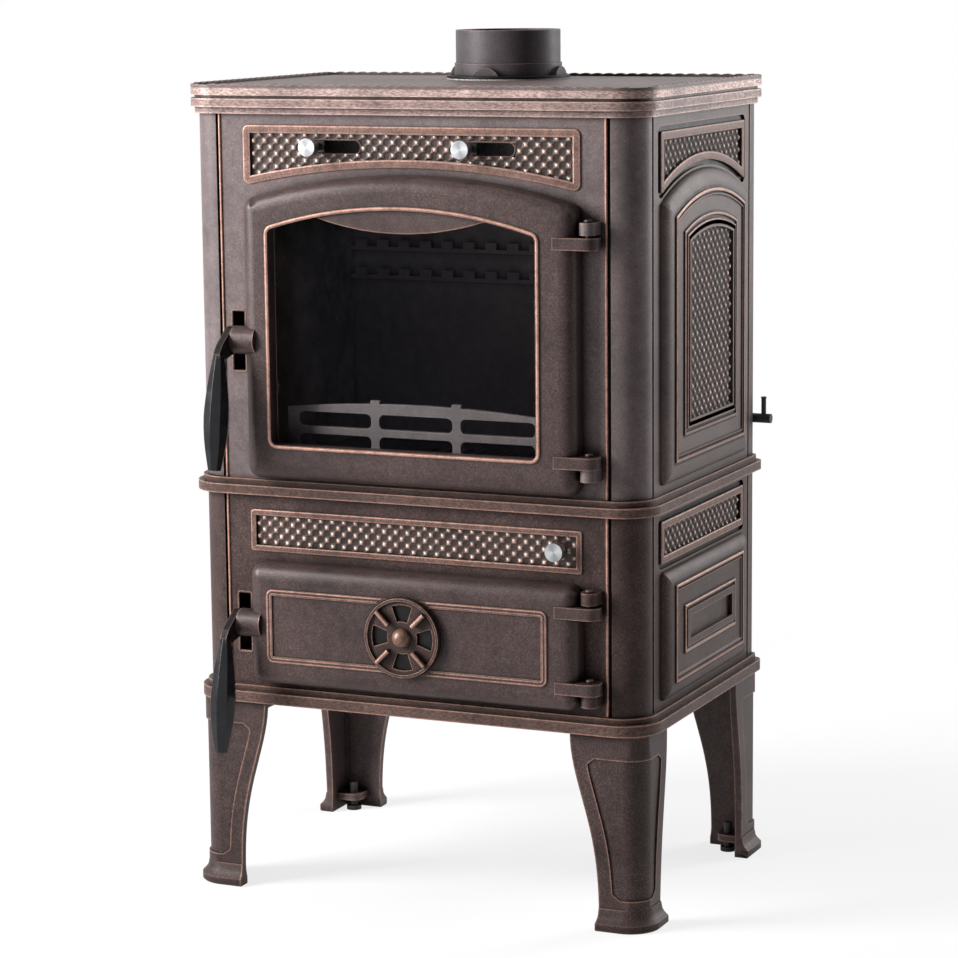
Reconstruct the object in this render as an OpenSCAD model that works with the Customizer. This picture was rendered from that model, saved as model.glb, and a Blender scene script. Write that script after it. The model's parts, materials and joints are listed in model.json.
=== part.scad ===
// Free-standing cast iron stove with a cooking top, a glazed fire door above an ash door,
// four cabriole legs and a flue spigot on top.
// X runs to the right as the stove is faced, Y to its back, Z up from the floor.
// The origin lies on the floor, at the middle of the whole stove's plan, handles included.

/* [Body] */
// Width over the side plates
body_w = 530; // [500:1:580]
// Depth from the front plates' face to the back plates' face
body_d = 356; // [340:1:420]
// Height of the base frame's underside above the floor
leg_h = 215; // [200:1:240]
// Height of the base frame
base_frame_h = 19; // [17:0.5:24]
// Height of the lower plates, round the ash chamber
lower_h = 217; // [213:1:240]
// Height of the band between the lower and the upper plates
mid_band_h = 17; // [16:0.5:22]
// Height of the upper plates, round the firebox
upper_h = 401; // [395:1:440]
// Height of the cornice under the top plate
cornice_h = 20; // [18:0.5:26]
// Thickness of the cast plates
plate_t = 7; // [6:0.25:9]
// Wall of the rounded front corner posts
post_t = 8; // [6:0.25:10]
// Outer radius of the front corner posts
corner_r = 33; // [28:0.5:36]
// Outer radius of the rear corners
rear_corner_r = 4; // [2:0.5:6]
// Width of the post seen from the front
post_front_w = 40; // [38:0.5:46]
// Length of the back plates' returns along the sides
rear_return = 15; // [12:0.5:20]
// How far the base frame and the middle band stand out from the plates
band_overhang = 10.7; // [8:0.1:13]
// How far the cornice and the top plate stand out from the plates
top_overhang = 9.2; // [7:0.1:12]
// Height of the narrower step beside each band
step_h = 6.5; // [5:0.25:8]
// How far that step stands out from the plates
step_overhang = 5; // [3:0.25:7]
// Width of the base frame, middle band and cornice, inwards from the plates' outer face
ring_w = 34; // [32:0.5:38]
// Width of the ledge inside them that carries a plate
ledge_w = 10; // [8:0.5:14]
// Thickness of that ledge
ledge_t = 7; // [6:0.5:8]
// Thickness of the base plate and of the hearth plate
floor_t = 8; // [7:0.5:9]
// Width of the shadow groove beside the side plates
groove_w = 4; // [3:0.5:6]
// Depth of that groove
groove_d = 3.5; // [2:0.25:4]
// Radius of the bead on the posts' front edge
bead_r = 1.6; // [1:0.1:2]

/* [Top plate] */
// Thickness of the top plate at its rim
top_t = 12.5; // [11:0.5:15]
// Width of the raised rim
rim_w = 6; // [5:0.5:8]
// Height of the rim above the cooking surface
rim_h = 3.5; // [3:0.25:5]
// Distance between two scallops of the rim
scallop_pitch = 14.4; // [12:0.2:18]
// Depth of a scallop
scallop_h = 1.6; // [1:0.1:2.5]

/* [Flue] */
// Outer radius of the flue spigot, for a pipe of 120 mm bore
flue_r = 59.5; // [55:0.5:62]
// Wall of the flue spigot
flue_wall = 7; // [5:0.25:9]
// Height of the spigot's straight part, where the pipe sits
flue_grip = 37; // [30:1:50]
// Height of the thicker foot under it, which the pipe stops at
flue_foot_h = 17; // [15:0.5:20]
// How much the foot is thicker than the straight part, at the radius
flue_step = 1.5; // [1:0.25:3]
// Distance of the flue's axis behind the middle of the body
flue_back = 92; // [80:1:100]
// Half width of a fixing lug
lug_half_w = 17.5; // [15:0.5:20]
// Height of a fixing lug
lug_rise = 10; // [9:0.5:14]
// How far a fixing lug stands out from the spigot's straight part
lug_out = 6; // [5:0.5:8]

/* [Doors] */
// Width of both doors
door_w = 391; // [385:1:394]
// Shift of the doors' middle to the right of the stove's middle
door_shift = 4.5; // [3:0.5:5]
// Thickness of a door casting
door_t = 24; // [22:0.5:28]
// Gap between a door's back and the front plate
door_gap = 2; // [1.5:0.1:3]
// Radius of a door's corners
door_corner = 14; // [10:0.5:18]
// Width of the pillow-shaped edge
pillow_w = 17; // [12:0.5:18]
// Depth of the pillow-shaped edge
pillow_d = 14; // [10:0.5:16]
// Width of the rope seal in a door's back
seal_w = 9; // [8:0.5:10]
// Depth of the rope seal's groove
seal_d = 7; // [5:0.5:8]
// Distance of that groove from the door's edge
seal_in = 6; // [5:0.5:7]
// Width of the plate's rim that a door overlaps
door_lap = 20; // [18:0.5:22]

/* [Fire door] */
// Gap between the middle band and the fire door
fire_door_lift = 4; // [3:0.5:7]
// Room over the fire door, up to the cornice
fire_door_room = 63; // [60:1:69]
// Rise of the fire door's arch
fire_arch = 29; // [25:1:33]
// Mean width of the fire door's frame beside the window
window_side = 38.5; // [36.5:0.5:45]
// Height of the window's sill above the door's lower edge
window_sill = 39; // [36:0.5:42]
// Room between the window's crown and the door's
window_head = 36; // [34:1:45]
// Rise of the window's arch
window_arch = 24; // [20:1:26]
// Radius of the window's corners
window_corner = 7; // [5:0.5:10]
// Width of the bead round the window
window_bead = 4; // [3:0.25:5]
// Height of that bead above the door's face
window_bead_h = 1.6; // [1:0.1:2.5]
// Width of the curved apron that hangs in the window's arch
apron_w = 200; // [180:1:220]
// Depth of that apron below the arch's crown
apron_drop = 25; // [22:0.5:28]
// Recess of the apron behind the door's face
apron_recess = 2.5; // [1:0.25:4]
// Thickness of the window glass
glass_t = 4; // [4:0.5:5]
// Overlap of the glass behind the window's edge
glass_lap = 8; // [7:0.5:9]
// Thickness of the glass gasket
gasket_t = 3; // [2:0.25:3.5]

/* [Ash door] */
// Gap between the base frame and the ash door
ash_door_lift = 7; // [4:0.5:8]
// Room over the ash door, up to the middle band
ash_door_room = 74.5; // [72:0.5:78]
// Half width of the moulding on the ash door
moulding_half_w = 167.5; // [160:0.5:170]
// Height of that moulding
moulding_h = 82.5; // [78:0.5:86]
// Width of its bead
moulding_bead = 7; // [5:0.25:8]
// Height of its bead
moulding_bead_h = 1.6; // [1:0.1:2.5]

/* [Hinges] */
// Radius of the hinge pins
hinge_pin_r = 3; // [2.5:0.25:4]
// Running clearance of pins and shafts in their bores, at the radius
running_gap = 0.05; // [0.02:0.01:0.09]
// Distance of the hinge axis from the stove's middle
hinge_x = 212; // [210.5:0.5:213]
// Distance of the hinge axis in front of the front plates
hinge_stand = 14; // [13:0.5:16]
// Radius of the hinge knuckles
knuckle_r = 9.5; // [8:0.25:10]
// Height of a hinge knuckle
knuckle_h = 13; // [12:0.5:15]
// Gap between two knuckles that bear on each other
knuckle_gap = 0.3; // [0.2:0.1:0.5]
// Depth of the upper fire door strap's foot below the door's crown
fire_strap_drop = 73; // [72:0.5:84]
// Height of the lower fire door strap above the door's lower edge
fire_strap_low = 31; // [26:0.5:34]
// Depth of the upper ash door strap's foot below the door's top
ash_strap_drop = 34; // [34:0.5:39.5]
// Height of the lower ash door strap above the door's lower edge
ash_strap_low = 19.5; // [16:0.5:20]

/* [Latches] */
// Distance of a latch lever's middle plane from the stove's middle
latch_x = 208; // [207:0.5:208.5]
// Distance of the latch axis in front of the front plates
latch_stand = 17; // [16.5:0.5:18]
// Height of the fire door's latch axis above the door's lower edge
fire_latch_z = 152; // [120:1:180]
// Height of the ash door's latch axis above the door's lower edge
ash_latch_z = 67.5; // [62:0.5:72]
// Radius of the barrel on a door that holds the latch axis
barrel_r = 15.5; // [14:0.5:16]
// Radius of the lever's hub
hub_r = 14.5; // [12:0.5:15.5]
// Radius of the latch axis
latch_pin_r = 5; // [4:0.25:6]
// Thickness of the lever
lever_t = 8; // [7:0.5:9]
// Width of the slot in the front plate
latch_slot_w = 14; // [13:0.5:15]
// Height of that slot above the latch axis
latch_slot_up = 29; // [28:0.5:31]
// Depth of that slot below the latch axis
latch_slot_down = 36; // [34:0.5:38]
// Length of a grip
grip_l = 122; // [110:1:130]
// Largest radius of a grip
grip_r = 14.75; // [12:0.25:15]
// Radius of a grip at its upper end
grip_neck_r = 6.5; // [6:0.25:8]
// Radius of a grip at its lower end
grip_end_r = 7.5; // [6:0.25:9]
// Lean of a grip away from the door
grip_lean = 7.4; // [4:0.2:9]

/* [Air control] */
// Distance of each air slot's middle from the stove's middle
air_slot_x = 90; // [86:0.5:94]
// Height of the air slots' middle under the upper plate's top edge
air_slot_down = 34.5; // [33.5:0.25:35.5]
// Length of an air slot
air_slot_l = 65; // [60:0.5:70]
// Height of an air slot
air_slot_h = 13; // [11:0.5:14]
// Radius of the three knobs
knob_r = 10; // [8:0.25:11]
// Thickness of the knobs
knob_t = 11; // [9:0.5:13]
// Distance of the knobs' faces in front of the front plates
knob_stand = 20; // [18:0.5:24]
// Radius of the knobs' stems
stem_r = 4; // [3:0.25:4.5]
// Distance of a resting air knob's axis from its slot's left end
knob_inset = 11.5; // [10:0.5:13]
// Thickness of an air shutter
shutter_t = 3; // [2:0.25:4]
// Height of an air shutter
shutter_h = 27; // [25:0.5:29]
// Length of an air shutter
shutter_l = 78; // [72:0.5:80]
// Clearance round sliding pieces
slide_gap = 0.3; // [0.2:0.1:0.5]

/* [Spin valve] */
// Radius of the round air valve on the ash door
valve_r = 44; // [40:0.5:45]
// Thickness of the valve's disc
valve_t = 3.5; // [3:0.25:4.5]
// Height of its rim above the disc
valve_rim_h = 3; // [2:0.25:4]
// Width of its rim
valve_rim_w = 3.5; // [2.5:0.25:4]
// Inner radius of its windows
valve_in_r = 18; // [17:0.5:20]
// Outer radius of its windows
valve_out_r = 36; // [33:0.5:37]
// Half angle of a window
valve_half_angle = 19; // [15:0.5:21]
// Height of a finger rib above the disc
rib_h = 8; // [6:0.5:10]
// Radius of the domed head in the middle
dome_r = 11; // [9:0.5:12]

/* [Lattice panels] */
// Half width of the front panels' moulding
panel_half_w = 198; // [194:0.5:200]
// Width of that moulding
panel_frame = 8.5; // [6:0.5:10]
// Height of that moulding above the plate
panel_frame_h = 1.5; // [1:0.1:2.5]
// Depth of the field inside it
panel_recess = 3; // [2:0.25:3.5]
// Distance of the upper panel's top from the upper plate's top edge
panel_top = 12; // [10:0.5:14]
// Height of the upper panel at its ends
panel_h = 65.5; // [63:0.5:68]
// Rise of the upper panel's lower edge in the middle
panel_arch = 22; // [20:0.5:24]
// Distance of the lower panel's top from the lower plate's top edge
low_panel_top = 17.5; // [16:0.5:19]
// Height of the lower panel
low_panel_h = 46.5; // [45:0.5:48]

/* [Side panels] */
// Half width of the side panels' relief
relief_half_w = 131.5; // [122:0.5:132]
// Height of the pillow-shaped relief above the plate
relief_d = 9; // [6:0.5:10]
// Width of its sloping edge
relief_edge = 17; // [12:0.5:18]
// Distance of the upper relief's foot from the upper plate's lower edge
relief_foot = 9; // [7:0.5:12]
// Height of the upper relief to the crown of its arch
relief_h = 330; // [322:1:336]
// Rise of the upper relief's arch
relief_arch = 31; // [25:1:34]
// Distance of the lower relief's foot from the lower plate's lower edge
low_relief_foot = 8; // [7:0.5:10]
// Height of the lower relief
low_relief_h = 141; // [136:1:143]
// Height of the raised centre moulding above the relief
centre_h = 2.5; // [1.5:0.25:3]

/* [Inside] */
// Width of the grate
grate_w = 240; // [220:1:250]
// Depth of the grate
grate_d = 190; // [170:1:200]
// Thickness of the grate
grate_t = 10; // [9:0.5:12]
// Width of a grate slot and of a grate bar
grate_bar = 10; // [9:0.5:12]
// Thickness of the liner plates
liner_t = 12; // [10:0.5:15]
// Gap between a liner and the side plate
liner_gap = 20; // [18:0.5:24]
// Height of the smoke chamber's floor below the cornice
liner_drop = 73; // [67:1:83]
// Thickness of the baffle plate
baffle_t = 12; // [10:0.5:14]
// Half width of the log guard
guard_half_w = 155; // [150:1:160]
// Thickness of the log guard
guard_t = 6; // [5:0.5:8]
// Height of the log guard at its ends
guard_h = 81; // [76:1:86]
// Travel of the riddling rod
riddle_travel = 40; // [30:1:45]
// Distance of the riddling rod from the stove's middle
riddle_x = 173; // [168:1:176]
// Height of the ash pan
pan_h = 70; // [60:1:80]
// Wall of the ash pan
pan_wall = 2; // [1.5:0.25:3]
// Radius of the tie rods
tie_r = 4; // [3:0.25:4.5]

/* [Rear air flap] */
// Radius of the flap's shaft
flap_shaft_r = 5.4; // [5:0.1:6]
// Height of the shaft above the upper plate's lower edge
flap_shaft_z = 40; // [38:0.5:44]
// Distance of the shaft behind the back plate
flap_shaft_y = 12; // [11.5:0.5:13]
// How far the shaft stands out beside the body
flap_shaft_out = 18; // [16:0.5:22]
// Length of the crank pin above the shaft's axis
crank_l = 25; // [22:1:30]
// Radius of the crank pin
crank_r = 2.8; // [2:0.1:3.2]
// Width of the flap
flap_w = 120; // [100:1:130]

/* [Legs] */
// Width of a leg at its top, seen from the front
leg_top_w = 86; // [80:1:92]
// Width of a leg above its foot, seen from the front
leg_low_w = 53; // [48:1:58]
// Width of a leg at its top, seen from the side
leg_top_d = 71; // [70:1:80]
// Width of a leg above its foot, seen from the side
leg_low_d = 50; // [46:1:56]
// Wall of a leg
leg_wall = 8; // [7:0.5:9]
// How far a leg's knee stands out from the plates
leg_bulge = 5; // [4:0.25:7]
// Radius of a front leg's corner, less that bulge
leg_corner_r = 22; // [18:1:28]
// Height of a foot's rim
foot_h = 10; // [9:0.5:12]
// How far a foot's rim stands out from the leg
foot_out = 8; // [5:0.5:9]

/* [Hidden] */

$fn = 48;
arc_steps = 6; // straight steps in a quarter of a small corner
arch_steps = 28; // straight steps in an arch
eps = 0.01; // thickness of the slices that a hull spans
over = 1; // how far a cutter runs past the face it cuts
screw_gap = 0.1; // clearance round a screw at the radius

iron = [0.33, 0.28, 0.26];
black = [0.06, 0.06, 0.07];
steel = [0.62, 0.62, 0.6];
firebrick = [0.55, 0.48, 0.42];
rope = [0.82, 0.8, 0.76];

// Reach of the handles in front of the body, and of the flap's shaft behind it
lever_drop = 18; // height of the latch axis above the grip's upper end
lever_reach = 31; // distance of that end in front of the latch axis
flap_ear_r = 8; // radius of the bosses round the flap's shaft
handle_reach = latch_stand + lever_reach + grip_l * sin(grip_lean) + grip_end_r * cos(grip_lean);
rear_reach = flap_shaft_y + flap_ear_r;

front_y = -(body_d - handle_reach + rear_reach) / 2;
rear_y = front_y + body_d;
mid_y = front_y + body_d / 2;
half_w = body_w / 2;

// Levels above the floor
lower_z = leg_h + base_frame_h;
band_z = lower_z + lower_h;
upper_z = band_z + mid_band_h;
cornice_z = upper_z + upper_h;
top_z = cornice_z + cornice_h;
hob_z = top_z + top_t - rim_h;
flue_y = mid_y + flue_back;

// Doors
fire_door_z = upper_z + fire_door_lift;
ash_door_z = lower_z + ash_door_lift;
fire_door_h = upper_h - fire_door_lift - fire_door_room;
ash_door_h = lower_h - ash_door_lift - ash_door_room;
window_w = door_w - 2 * window_side;
window_h = fire_door_h - window_sill - window_head;
liner_h = upper_h - liner_drop;
door_back_y = front_y - door_gap;
door_face_y = door_back_y - door_t;
window_z = fire_door_z + window_sill;
fire_latch_axis_z = fire_door_z + fire_latch_z;
ash_latch_axis_z = ash_door_z + ash_latch_z;
latch_y = front_y - latch_stand;
hinge_y = front_y - hinge_stand;
plate_half_w = half_w - post_front_w;
valve_z = ash_door_z + ash_door_h / 2;

// ---------- outlines ----------

function arc(cx, cy, r, a0, a1, n) =
  [for (i = [0 : n]) let (a = a0 + (a1 - a0) * i / n) [cx + r * cos(a), cy + r * sin(a)]];

function arch_radius(w, rise) = (w * w + rise * rise) / (2 * rise);

// An upright outline with rounded corners and an arched top, drawn in by "inset" all round
function arched(w, z0, z1, rise, corner, inset = 0) =
  let (big = arch_radius(w, rise), zc = z1 - big, r = max(corner - inset, 0.5),
     x = w - inset - r, zt = zc + sqrt(pow(big - inset - r, 2) - x * x),
     a = atan2(zt - zc, x))
  concat(arc(-x, z0 + inset + r, r, 180, 270, arc_steps),
       arc(x, z0 + inset + r, r, 270, 360, arc_steps),
       arc(x, zt, r, 0, a, arc_steps),
       arc(0, zc, big - inset, a, 180 - a, arch_steps),
       arc(-x, zt, r, 180 - a, 180, arc_steps));

// The same with a level top
function rounded(w, z0, z1, corner, inset = 0) =
  let (r = max(corner - inset, 1), x = w - inset - r)
  concat(arc(-x, z0 + inset + r, r, 180, 270, arc_steps),
       arc(x, z0 + inset + r, r, 270, 360, arc_steps),
       arc(x, z1 - inset - r, r, 0, 90, arc_steps),
       arc(-x, z1 - inset - r, r, 90, 180, arc_steps));

// A panel with a level top and a lower edge that rises in the middle
function vaulted(w, z0, z1, rise, corner, inset = 0) =
  let (big = arch_radius(w, rise) + inset, zc = z0 + rise - arch_radius(w, rise),
     r = max(corner - inset, 1), x = w - inset - r, zf = zc + sqrt(pow(big + r, 2) - x * x),
     a = atan2(zf - zc, x))
  concat(arc(x, z1 - inset - r, r, 0, 90, arc_steps),
       arc(-x, z1 - inset - r, r, 90, 180, arc_steps),
       arc(-x, zf, r, 180, 360 - a, arc_steps),
       arc(0, zc, big, 180 - a, a, arch_steps),
       arc(x, zf, r, 180 + a, 360, arc_steps));

fire_outline_h = fire_door_z + fire_door_h;
function fire_outline(inset) =
  arched(door_w / 2, fire_door_z, fire_outline_h, fire_arch, door_corner, inset);
function ash_outline(inset) =
  rounded(door_w / 2, ash_door_z, ash_door_z + ash_door_h, door_corner, inset);
function window_outline(inset) =
  arched(window_w / 2, window_z, window_z + window_h, window_arch, window_corner, inset);

// Pillow edge: how far the outline is drawn in at each height of the rounded edge
pillow_angles = [0, 22.5, 45, 67.5, 90];

// ---------- helpers ----------

// A shape drawn in X and Z that starts at y and grows forwards by t
module forward(y, t) {
  translate([0, y, 0]) rotate([90, 0, 0]) linear_extrude(t) children();
}

// A shape drawn in Y and Z that starts at x and grows to the right by t
module sideways(x, t) {
  translate([x, 0, 0]) rotate([90, 0, 90]) linear_extrude(t) children();
}

// A round bar along X, Y or Z
module bar_x(x, y, z, l, r) translate([x, y, z]) rotate([0, 90, 0]) cylinder(h = l, r = r);
module bar_y(x, y, z, l, r) translate([x, y, z]) rotate([-90, 0, 0]) cylinder(h = l, r = r);
module bar_z(x, y, z, l, r) translate([x, y, z]) cylinder(h = l, r = r);

module box(x0, x1, y0, y1, z0, z1) translate([x0, y0, z0]) cube([x1 - x0, y1 - y0, z1 - z0]);

// The body's outline in plan, grown by o: rounded front corners, nearly square rear corners
module plan(o) {
  x = half_w + o;
  y0 = front_y - o;
  y1 = rear_y + o;
  r = max(corner_r + o, 2);
  s = max(rear_corner_r + o, 2);
  translate([-x + r, y0]) square([2 * (x - r), r]);
  translate([-x, y0 + r]) square([2 * x, y1 - y0 - r - s]);
  translate([-x + s, y1 - s - eps]) square([2 * (x - s), s + eps]);
  for (side = [-1, 1]) {
    translate([side * (x - r), y0 + r]) circle(r);
    translate([side * (x - s), y1 - s]) circle(s);
  }
}

// A closed frame that follows the body's outline
module ring(o, inner, z0, h) {
  translate([0, 0, z0]) linear_extrude(h) difference() {
    plan(o);
    plan(-inner);
  }
}

tie_in = 22; // distance of a tie rod from both outer faces of its corner
module tie_places() {
  for (side = [-1, 1], y = [front_y + tie_in, rear_y - tie_in])
    translate([side * (half_w - tie_in), y, 0]) children();
}

module tie_holes(z0, h) {
  tie_places() bar_z(0, 0, z0, h, tie_r + screw_gap);
}

module top_rim_strip(l, w, m0, m1) {
  n = floor((l - m0 - m1) / scallop_pitch);
  start = (l + m0 - m1 - n * scallop_pitch) / 2;
  wave = [for (i = [0 : n * 6])
    [start + i * scallop_pitch / 6, rim_h - scallop_h * (1 - abs(sin(i * 30)))]];
  rotate([90, 0, 0]) linear_extrude(w)
    polygon(concat([[0, -over], [0, rim_h]], wave, [[l, rim_h], [l, -over]]));
}

module top_plate() {
  x = half_w + top_overhang;
  y0 = front_y - top_overhang;
  y1 = rear_y + top_overhang;
  color(iron) difference() {
    union() {
      translate([0, 0, top_z]) linear_extrude(top_t - rim_h) plan(top_overhang);
      translate([0, 0, hob_z - over]) linear_extrude(over + rim_h - scallop_h)
        difference() {
          plan(top_overhang);
          plan(top_overhang - rim_w);
        }
      translate([0, 0, hob_z]) intersection() {
        translate([0, 0, -over]) linear_extrude(over + rim_h) difference() {
          plan(top_overhang);
          plan(top_overhang - rim_w);
        }
        union() {
          translate([-x, y0 + rim_w, 0]) top_rim_strip(2 * x, rim_w, corner_r, corner_r);
          translate([-x, y1, 0]) top_rim_strip(2 * x, rim_w, rim_w, rim_w);
          for (side = [-x, x - rim_w])
            translate([side, y0, 0]) rotate([0, 0, 90])
              top_rim_strip(y1 - y0, rim_w, corner_r, rim_w);
        }
      }
    }
    bar_z(0, flue_y, top_z - over, top_t + 2 * over, flue_r - flue_wall);
    tie_holes(top_z - over, over + tie_top);
    flue_screw_places() bar_z(0, 0, top_z - over, top_t + 2 * over, flue_screw_r + screw_gap);
  }
}

cove_h = 7; // height of the cornice's lower, narrower member
neck_h = 3.5; // height of the shadow line under the top plate
module cornice() {
  color(iron) difference() {
    union() {
      ring(step_overhang, ring_w, cornice_z, cove_h);
      ring(top_overhang, ring_w, cornice_z + cove_h, cornice_h - cove_h - neck_h);
      ring(step_overhang, ring_w, cornice_z + cornice_h - neck_h, neck_h);
    }
    tie_holes(cornice_z - over, cornice_h + 2 * over);
    flue_screw_places() bar_z(0, 0, top_z - screw_head_h - 0.5, screw_head_h + 0.5 + over, 2 * flue_screw_r + 1);
  }
}

module middle_band() {
  color(iron) difference() {
    union() {
      ring(band_overhang, ring_w, band_z, mid_band_h - step_h);
      ring(step_overhang, ring_w, band_z + mid_band_h - step_h, step_h);
      ring(-ring_w + over, ring_w + ledge_w, band_z, ledge_t);
    }
    tie_holes(band_z - over, mid_band_h + 2 * over);
  }
}

nut_h = 6.5; // height of a tie rod's nut
nut_r = 8; // radius of a tie rod's nut over its corners
module base_frame() {
  color(iron) difference() {
    union() {
      ring(band_overhang, ring_w, leg_h, base_frame_h - step_h);
      ring(step_overhang, ring_w, leg_h + base_frame_h - step_h, step_h);
      ring(-ring_w + over, ring_w + ledge_w, leg_h, ledge_t);
    }
    tie_holes(leg_h - over, base_frame_h + 2 * over);
    tie_places() bar_z(0, 0, leg_h - over, over + nut_h, nut_r + 1);
    leg_bolt_places() bar_z(0, 0, leg_h - over, over + leg_bolt_in + 0.5, leg_bolt_r + screw_gap);
  }
}

module floor_plate(z) {
  x = half_w - ring_w - slide_gap;
  box(-x, x, front_y + ring_w + slide_gap, rear_y - ring_w - slide_gap, z, z + floor_t);
}

module base_plate() {
  color(iron) floor_plate(leg_h + ledge_t);
}

tie_top = 7; // how far a tie rod screws into the top plate
module tie_rods() {
  color(steel) tie_places() bar_z(0, 0, leg_h + 0.5, top_z + tie_top - 1 - leg_h - 0.5, tie_r);
}

module tie_rod_nuts() {
  color(steel) tie_places() translate([0, 0, leg_h]) difference() {
    cylinder(h = nut_h, r = nut_r, $fn = 6);
    bar_z(0, 0, -over, nut_h + 2 * over, tie_r + running_gap);
  }
}

// ---------- flue ----------

flue_flange_r = flue_r + 10.5;
flue_flange_t = 3;
flue_gasket_t = 1.5;
flue_screw_r = 2.5;
flue_screw_in = 8; // depth of a collar screw in its lug
flue_base_z = hob_z + flue_gasket_t;
flue_top_z = flue_base_z + flue_foot_h + flue_grip;

module flue_screw_places() {
  for (a = [0 : 90 : 270])
    translate([0, flue_y, 0]) rotate([0, 0, a]) translate([flue_r + 1.5, 0, 0]) children();
}

module flue_collar() {
  color(iron) difference() {
    union() {
      bar_z(0, flue_y, flue_base_z, flue_flange_t, flue_flange_r);
      bar_z(0, flue_y, flue_base_z, flue_foot_h, flue_r + flue_step);
      bar_z(0, flue_y, flue_base_z, flue_foot_h + flue_grip, flue_r);
      for (a = [0 : 90 : 270])
        translate([0, flue_y, flue_base_z]) rotate([0, 0, a]) intersection() {
          translate([0, 0, lug_rise + flue_flange_t - lug_half_w])
            rotate([0, 90, 0]) bar_z(0, 0, 0, flue_r + lug_out, lug_half_w);
          box(flue_r - flue_wall + over, flue_r + lug_out, -lug_half_w, lug_half_w,
            0, lug_rise + flue_flange_t);
        }
    }
    bar_z(0, flue_y, flue_base_z - over, flue_foot_h + flue_grip + 2 * over, flue_r - flue_wall);
    flue_screw_places() bar_z(0, 0, flue_base_z - over, over + flue_screw_in, flue_screw_r + screw_gap);
  }
}

module flue_gasket() {
  color(rope) difference() {
    bar_z(0, flue_y, hob_z, flue_gasket_t, flue_flange_r);
    bar_z(0, flue_y, hob_z - over, flue_gasket_t + 2 * over, flue_r - flue_wall);
    flue_screw_places() bar_z(0, 0, hob_z - over, flue_gasket_t + 2 * over, flue_screw_r + screw_gap);
  }
}

screw_head_h = 3;
module flue_collar_screws() {
  color(steel) flue_screw_places() {
    bar_z(0, 0, top_z - screw_head_h, screw_head_h, 2 * flue_screw_r);
    bar_z(0, 0, top_z - eps, flue_base_z + flue_screw_in - 1 - top_z, flue_screw_r);
  }
}

// ---------- outer plates ----------

bead_groove = 3; // width of the groove beside a post's bead
// A corner post's wall in plan, for the front right corner
module post_plan() {
  cx = half_w - corner_r;
  cy = front_y + corner_r;
  x0 = half_w - post_front_w;
  difference() {
    union() {
      translate([x0, front_y]) square([cx - x0, corner_r]);
      intersection() {
        translate([cx, cy]) circle(corner_r, $fn = 96);
        translate([cx - eps, front_y]) square([corner_r + eps, corner_r]);
      }
      translate([x0 + bead_r, front_y]) circle(bead_r);
    }
    translate([x0 - over, front_y + post_t]) square([cx - x0 + over, corner_r]);
    translate([x0 + 2 * bead_r, front_y - over]) square([bead_groove, over + groove_d]);
    intersection() {
      translate([cx, cy]) circle(corner_r - post_t, $fn = 96);
      translate([cx - 2 * eps, front_y]) square([corner_r + over, corner_r + over]);
    }
  }
}

module posts(z, h) {
  color(iron) translate([0, 0, z]) linear_extrude(h) {
    post_plan();
    mirror([1, 0, 0]) post_plan();
  }
}

module upper_front_posts() posts(upper_z, upper_h);
module lower_front_posts() posts(lower_z, lower_h);

side_y0 = front_y + corner_r;
side_y1 = rear_y - rear_return;
side_mid_y = (side_y0 + side_y1) / 2;

// The plain side plate for the right side, with the shadow grooves along its upright edges
module side_blank(z, h) {
  difference() {
    box(half_w - plate_t, half_w, side_y0, side_y1, z, z + h);
    for (y = [side_y0 - over, side_y1 - groove_w])
      box(half_w - groove_d, half_w + over, y, y + groove_w + over, z - over, z + h + over);
  }
}

relief_steps = [0, 30, 60, 90];
frame_cut = 2; // depth of the grooves cut in the reliefs
relief_in = 26; // distance of the groove from the relief's edge
groove_line = 3; // width of that groove
centre_in = 56; // distance of the centre moulding from the relief's edge
centre_frame = 8; // width of the centre moulding

low_relief_in = 20;
low_centre_in = 50;
low_relief_trim = 6;
side_lattice_down = 17; // distance of the upper lattice's top from the plate's top edge
low_lattice_down = 13;
side_lattice_h = 65.5;
side_lattice_arch = 29;
low_side_lattice_h = 46;
lattice_groove = 6; // width of the groove round a side lattice's moulding

// A side relief's outline: arched if it has a rise, else straight
function side_panel(w, z0, h, rise, inset) =
  rise > 0 ? arched(w, z0, z0 + h, rise, 6, inset) : rounded(w, z0, z0 + h, 6, inset);

module relief(z0, h, rise, line_in, frame_in, trim) {
  w = relief_half_w;
  translate([0, side_mid_y, 0]) difference() {
    union() {
      hull() for (a = relief_steps)
        sideways(half_w - eps + relief_d * sin(a) * 0.999, eps)
          polygon(side_panel(w, z0, h, rise, relief_edge * (1 - cos(a))));
      sideways(half_w + relief_d - over, over + centre_h)
        polygon(side_panel(w - trim, z0, h, rise, frame_in));
    }
    sideways(half_w + relief_d - frame_cut, over + frame_cut) difference() {
      polygon(side_panel(w - trim, z0, h, rise, line_in));
      polygon(side_panel(w - trim, z0, h, rise, line_in + groove_line));
    }
    sideways(half_w + relief_d - frame_cut, over + frame_cut + centre_h)
      polygon(side_panel(w - trim, z0, h, rise, frame_in + centre_frame));
  }
}

// The outline of the lattice's moulding above a relief
function lattice(z1, h, rise, inset) =
  rise > 0 ? vaulted(relief_half_w, z1 - h, z1, rise, 3, inset)
    : rounded(relief_half_w, z1 - h, z1, 3, inset);

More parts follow.
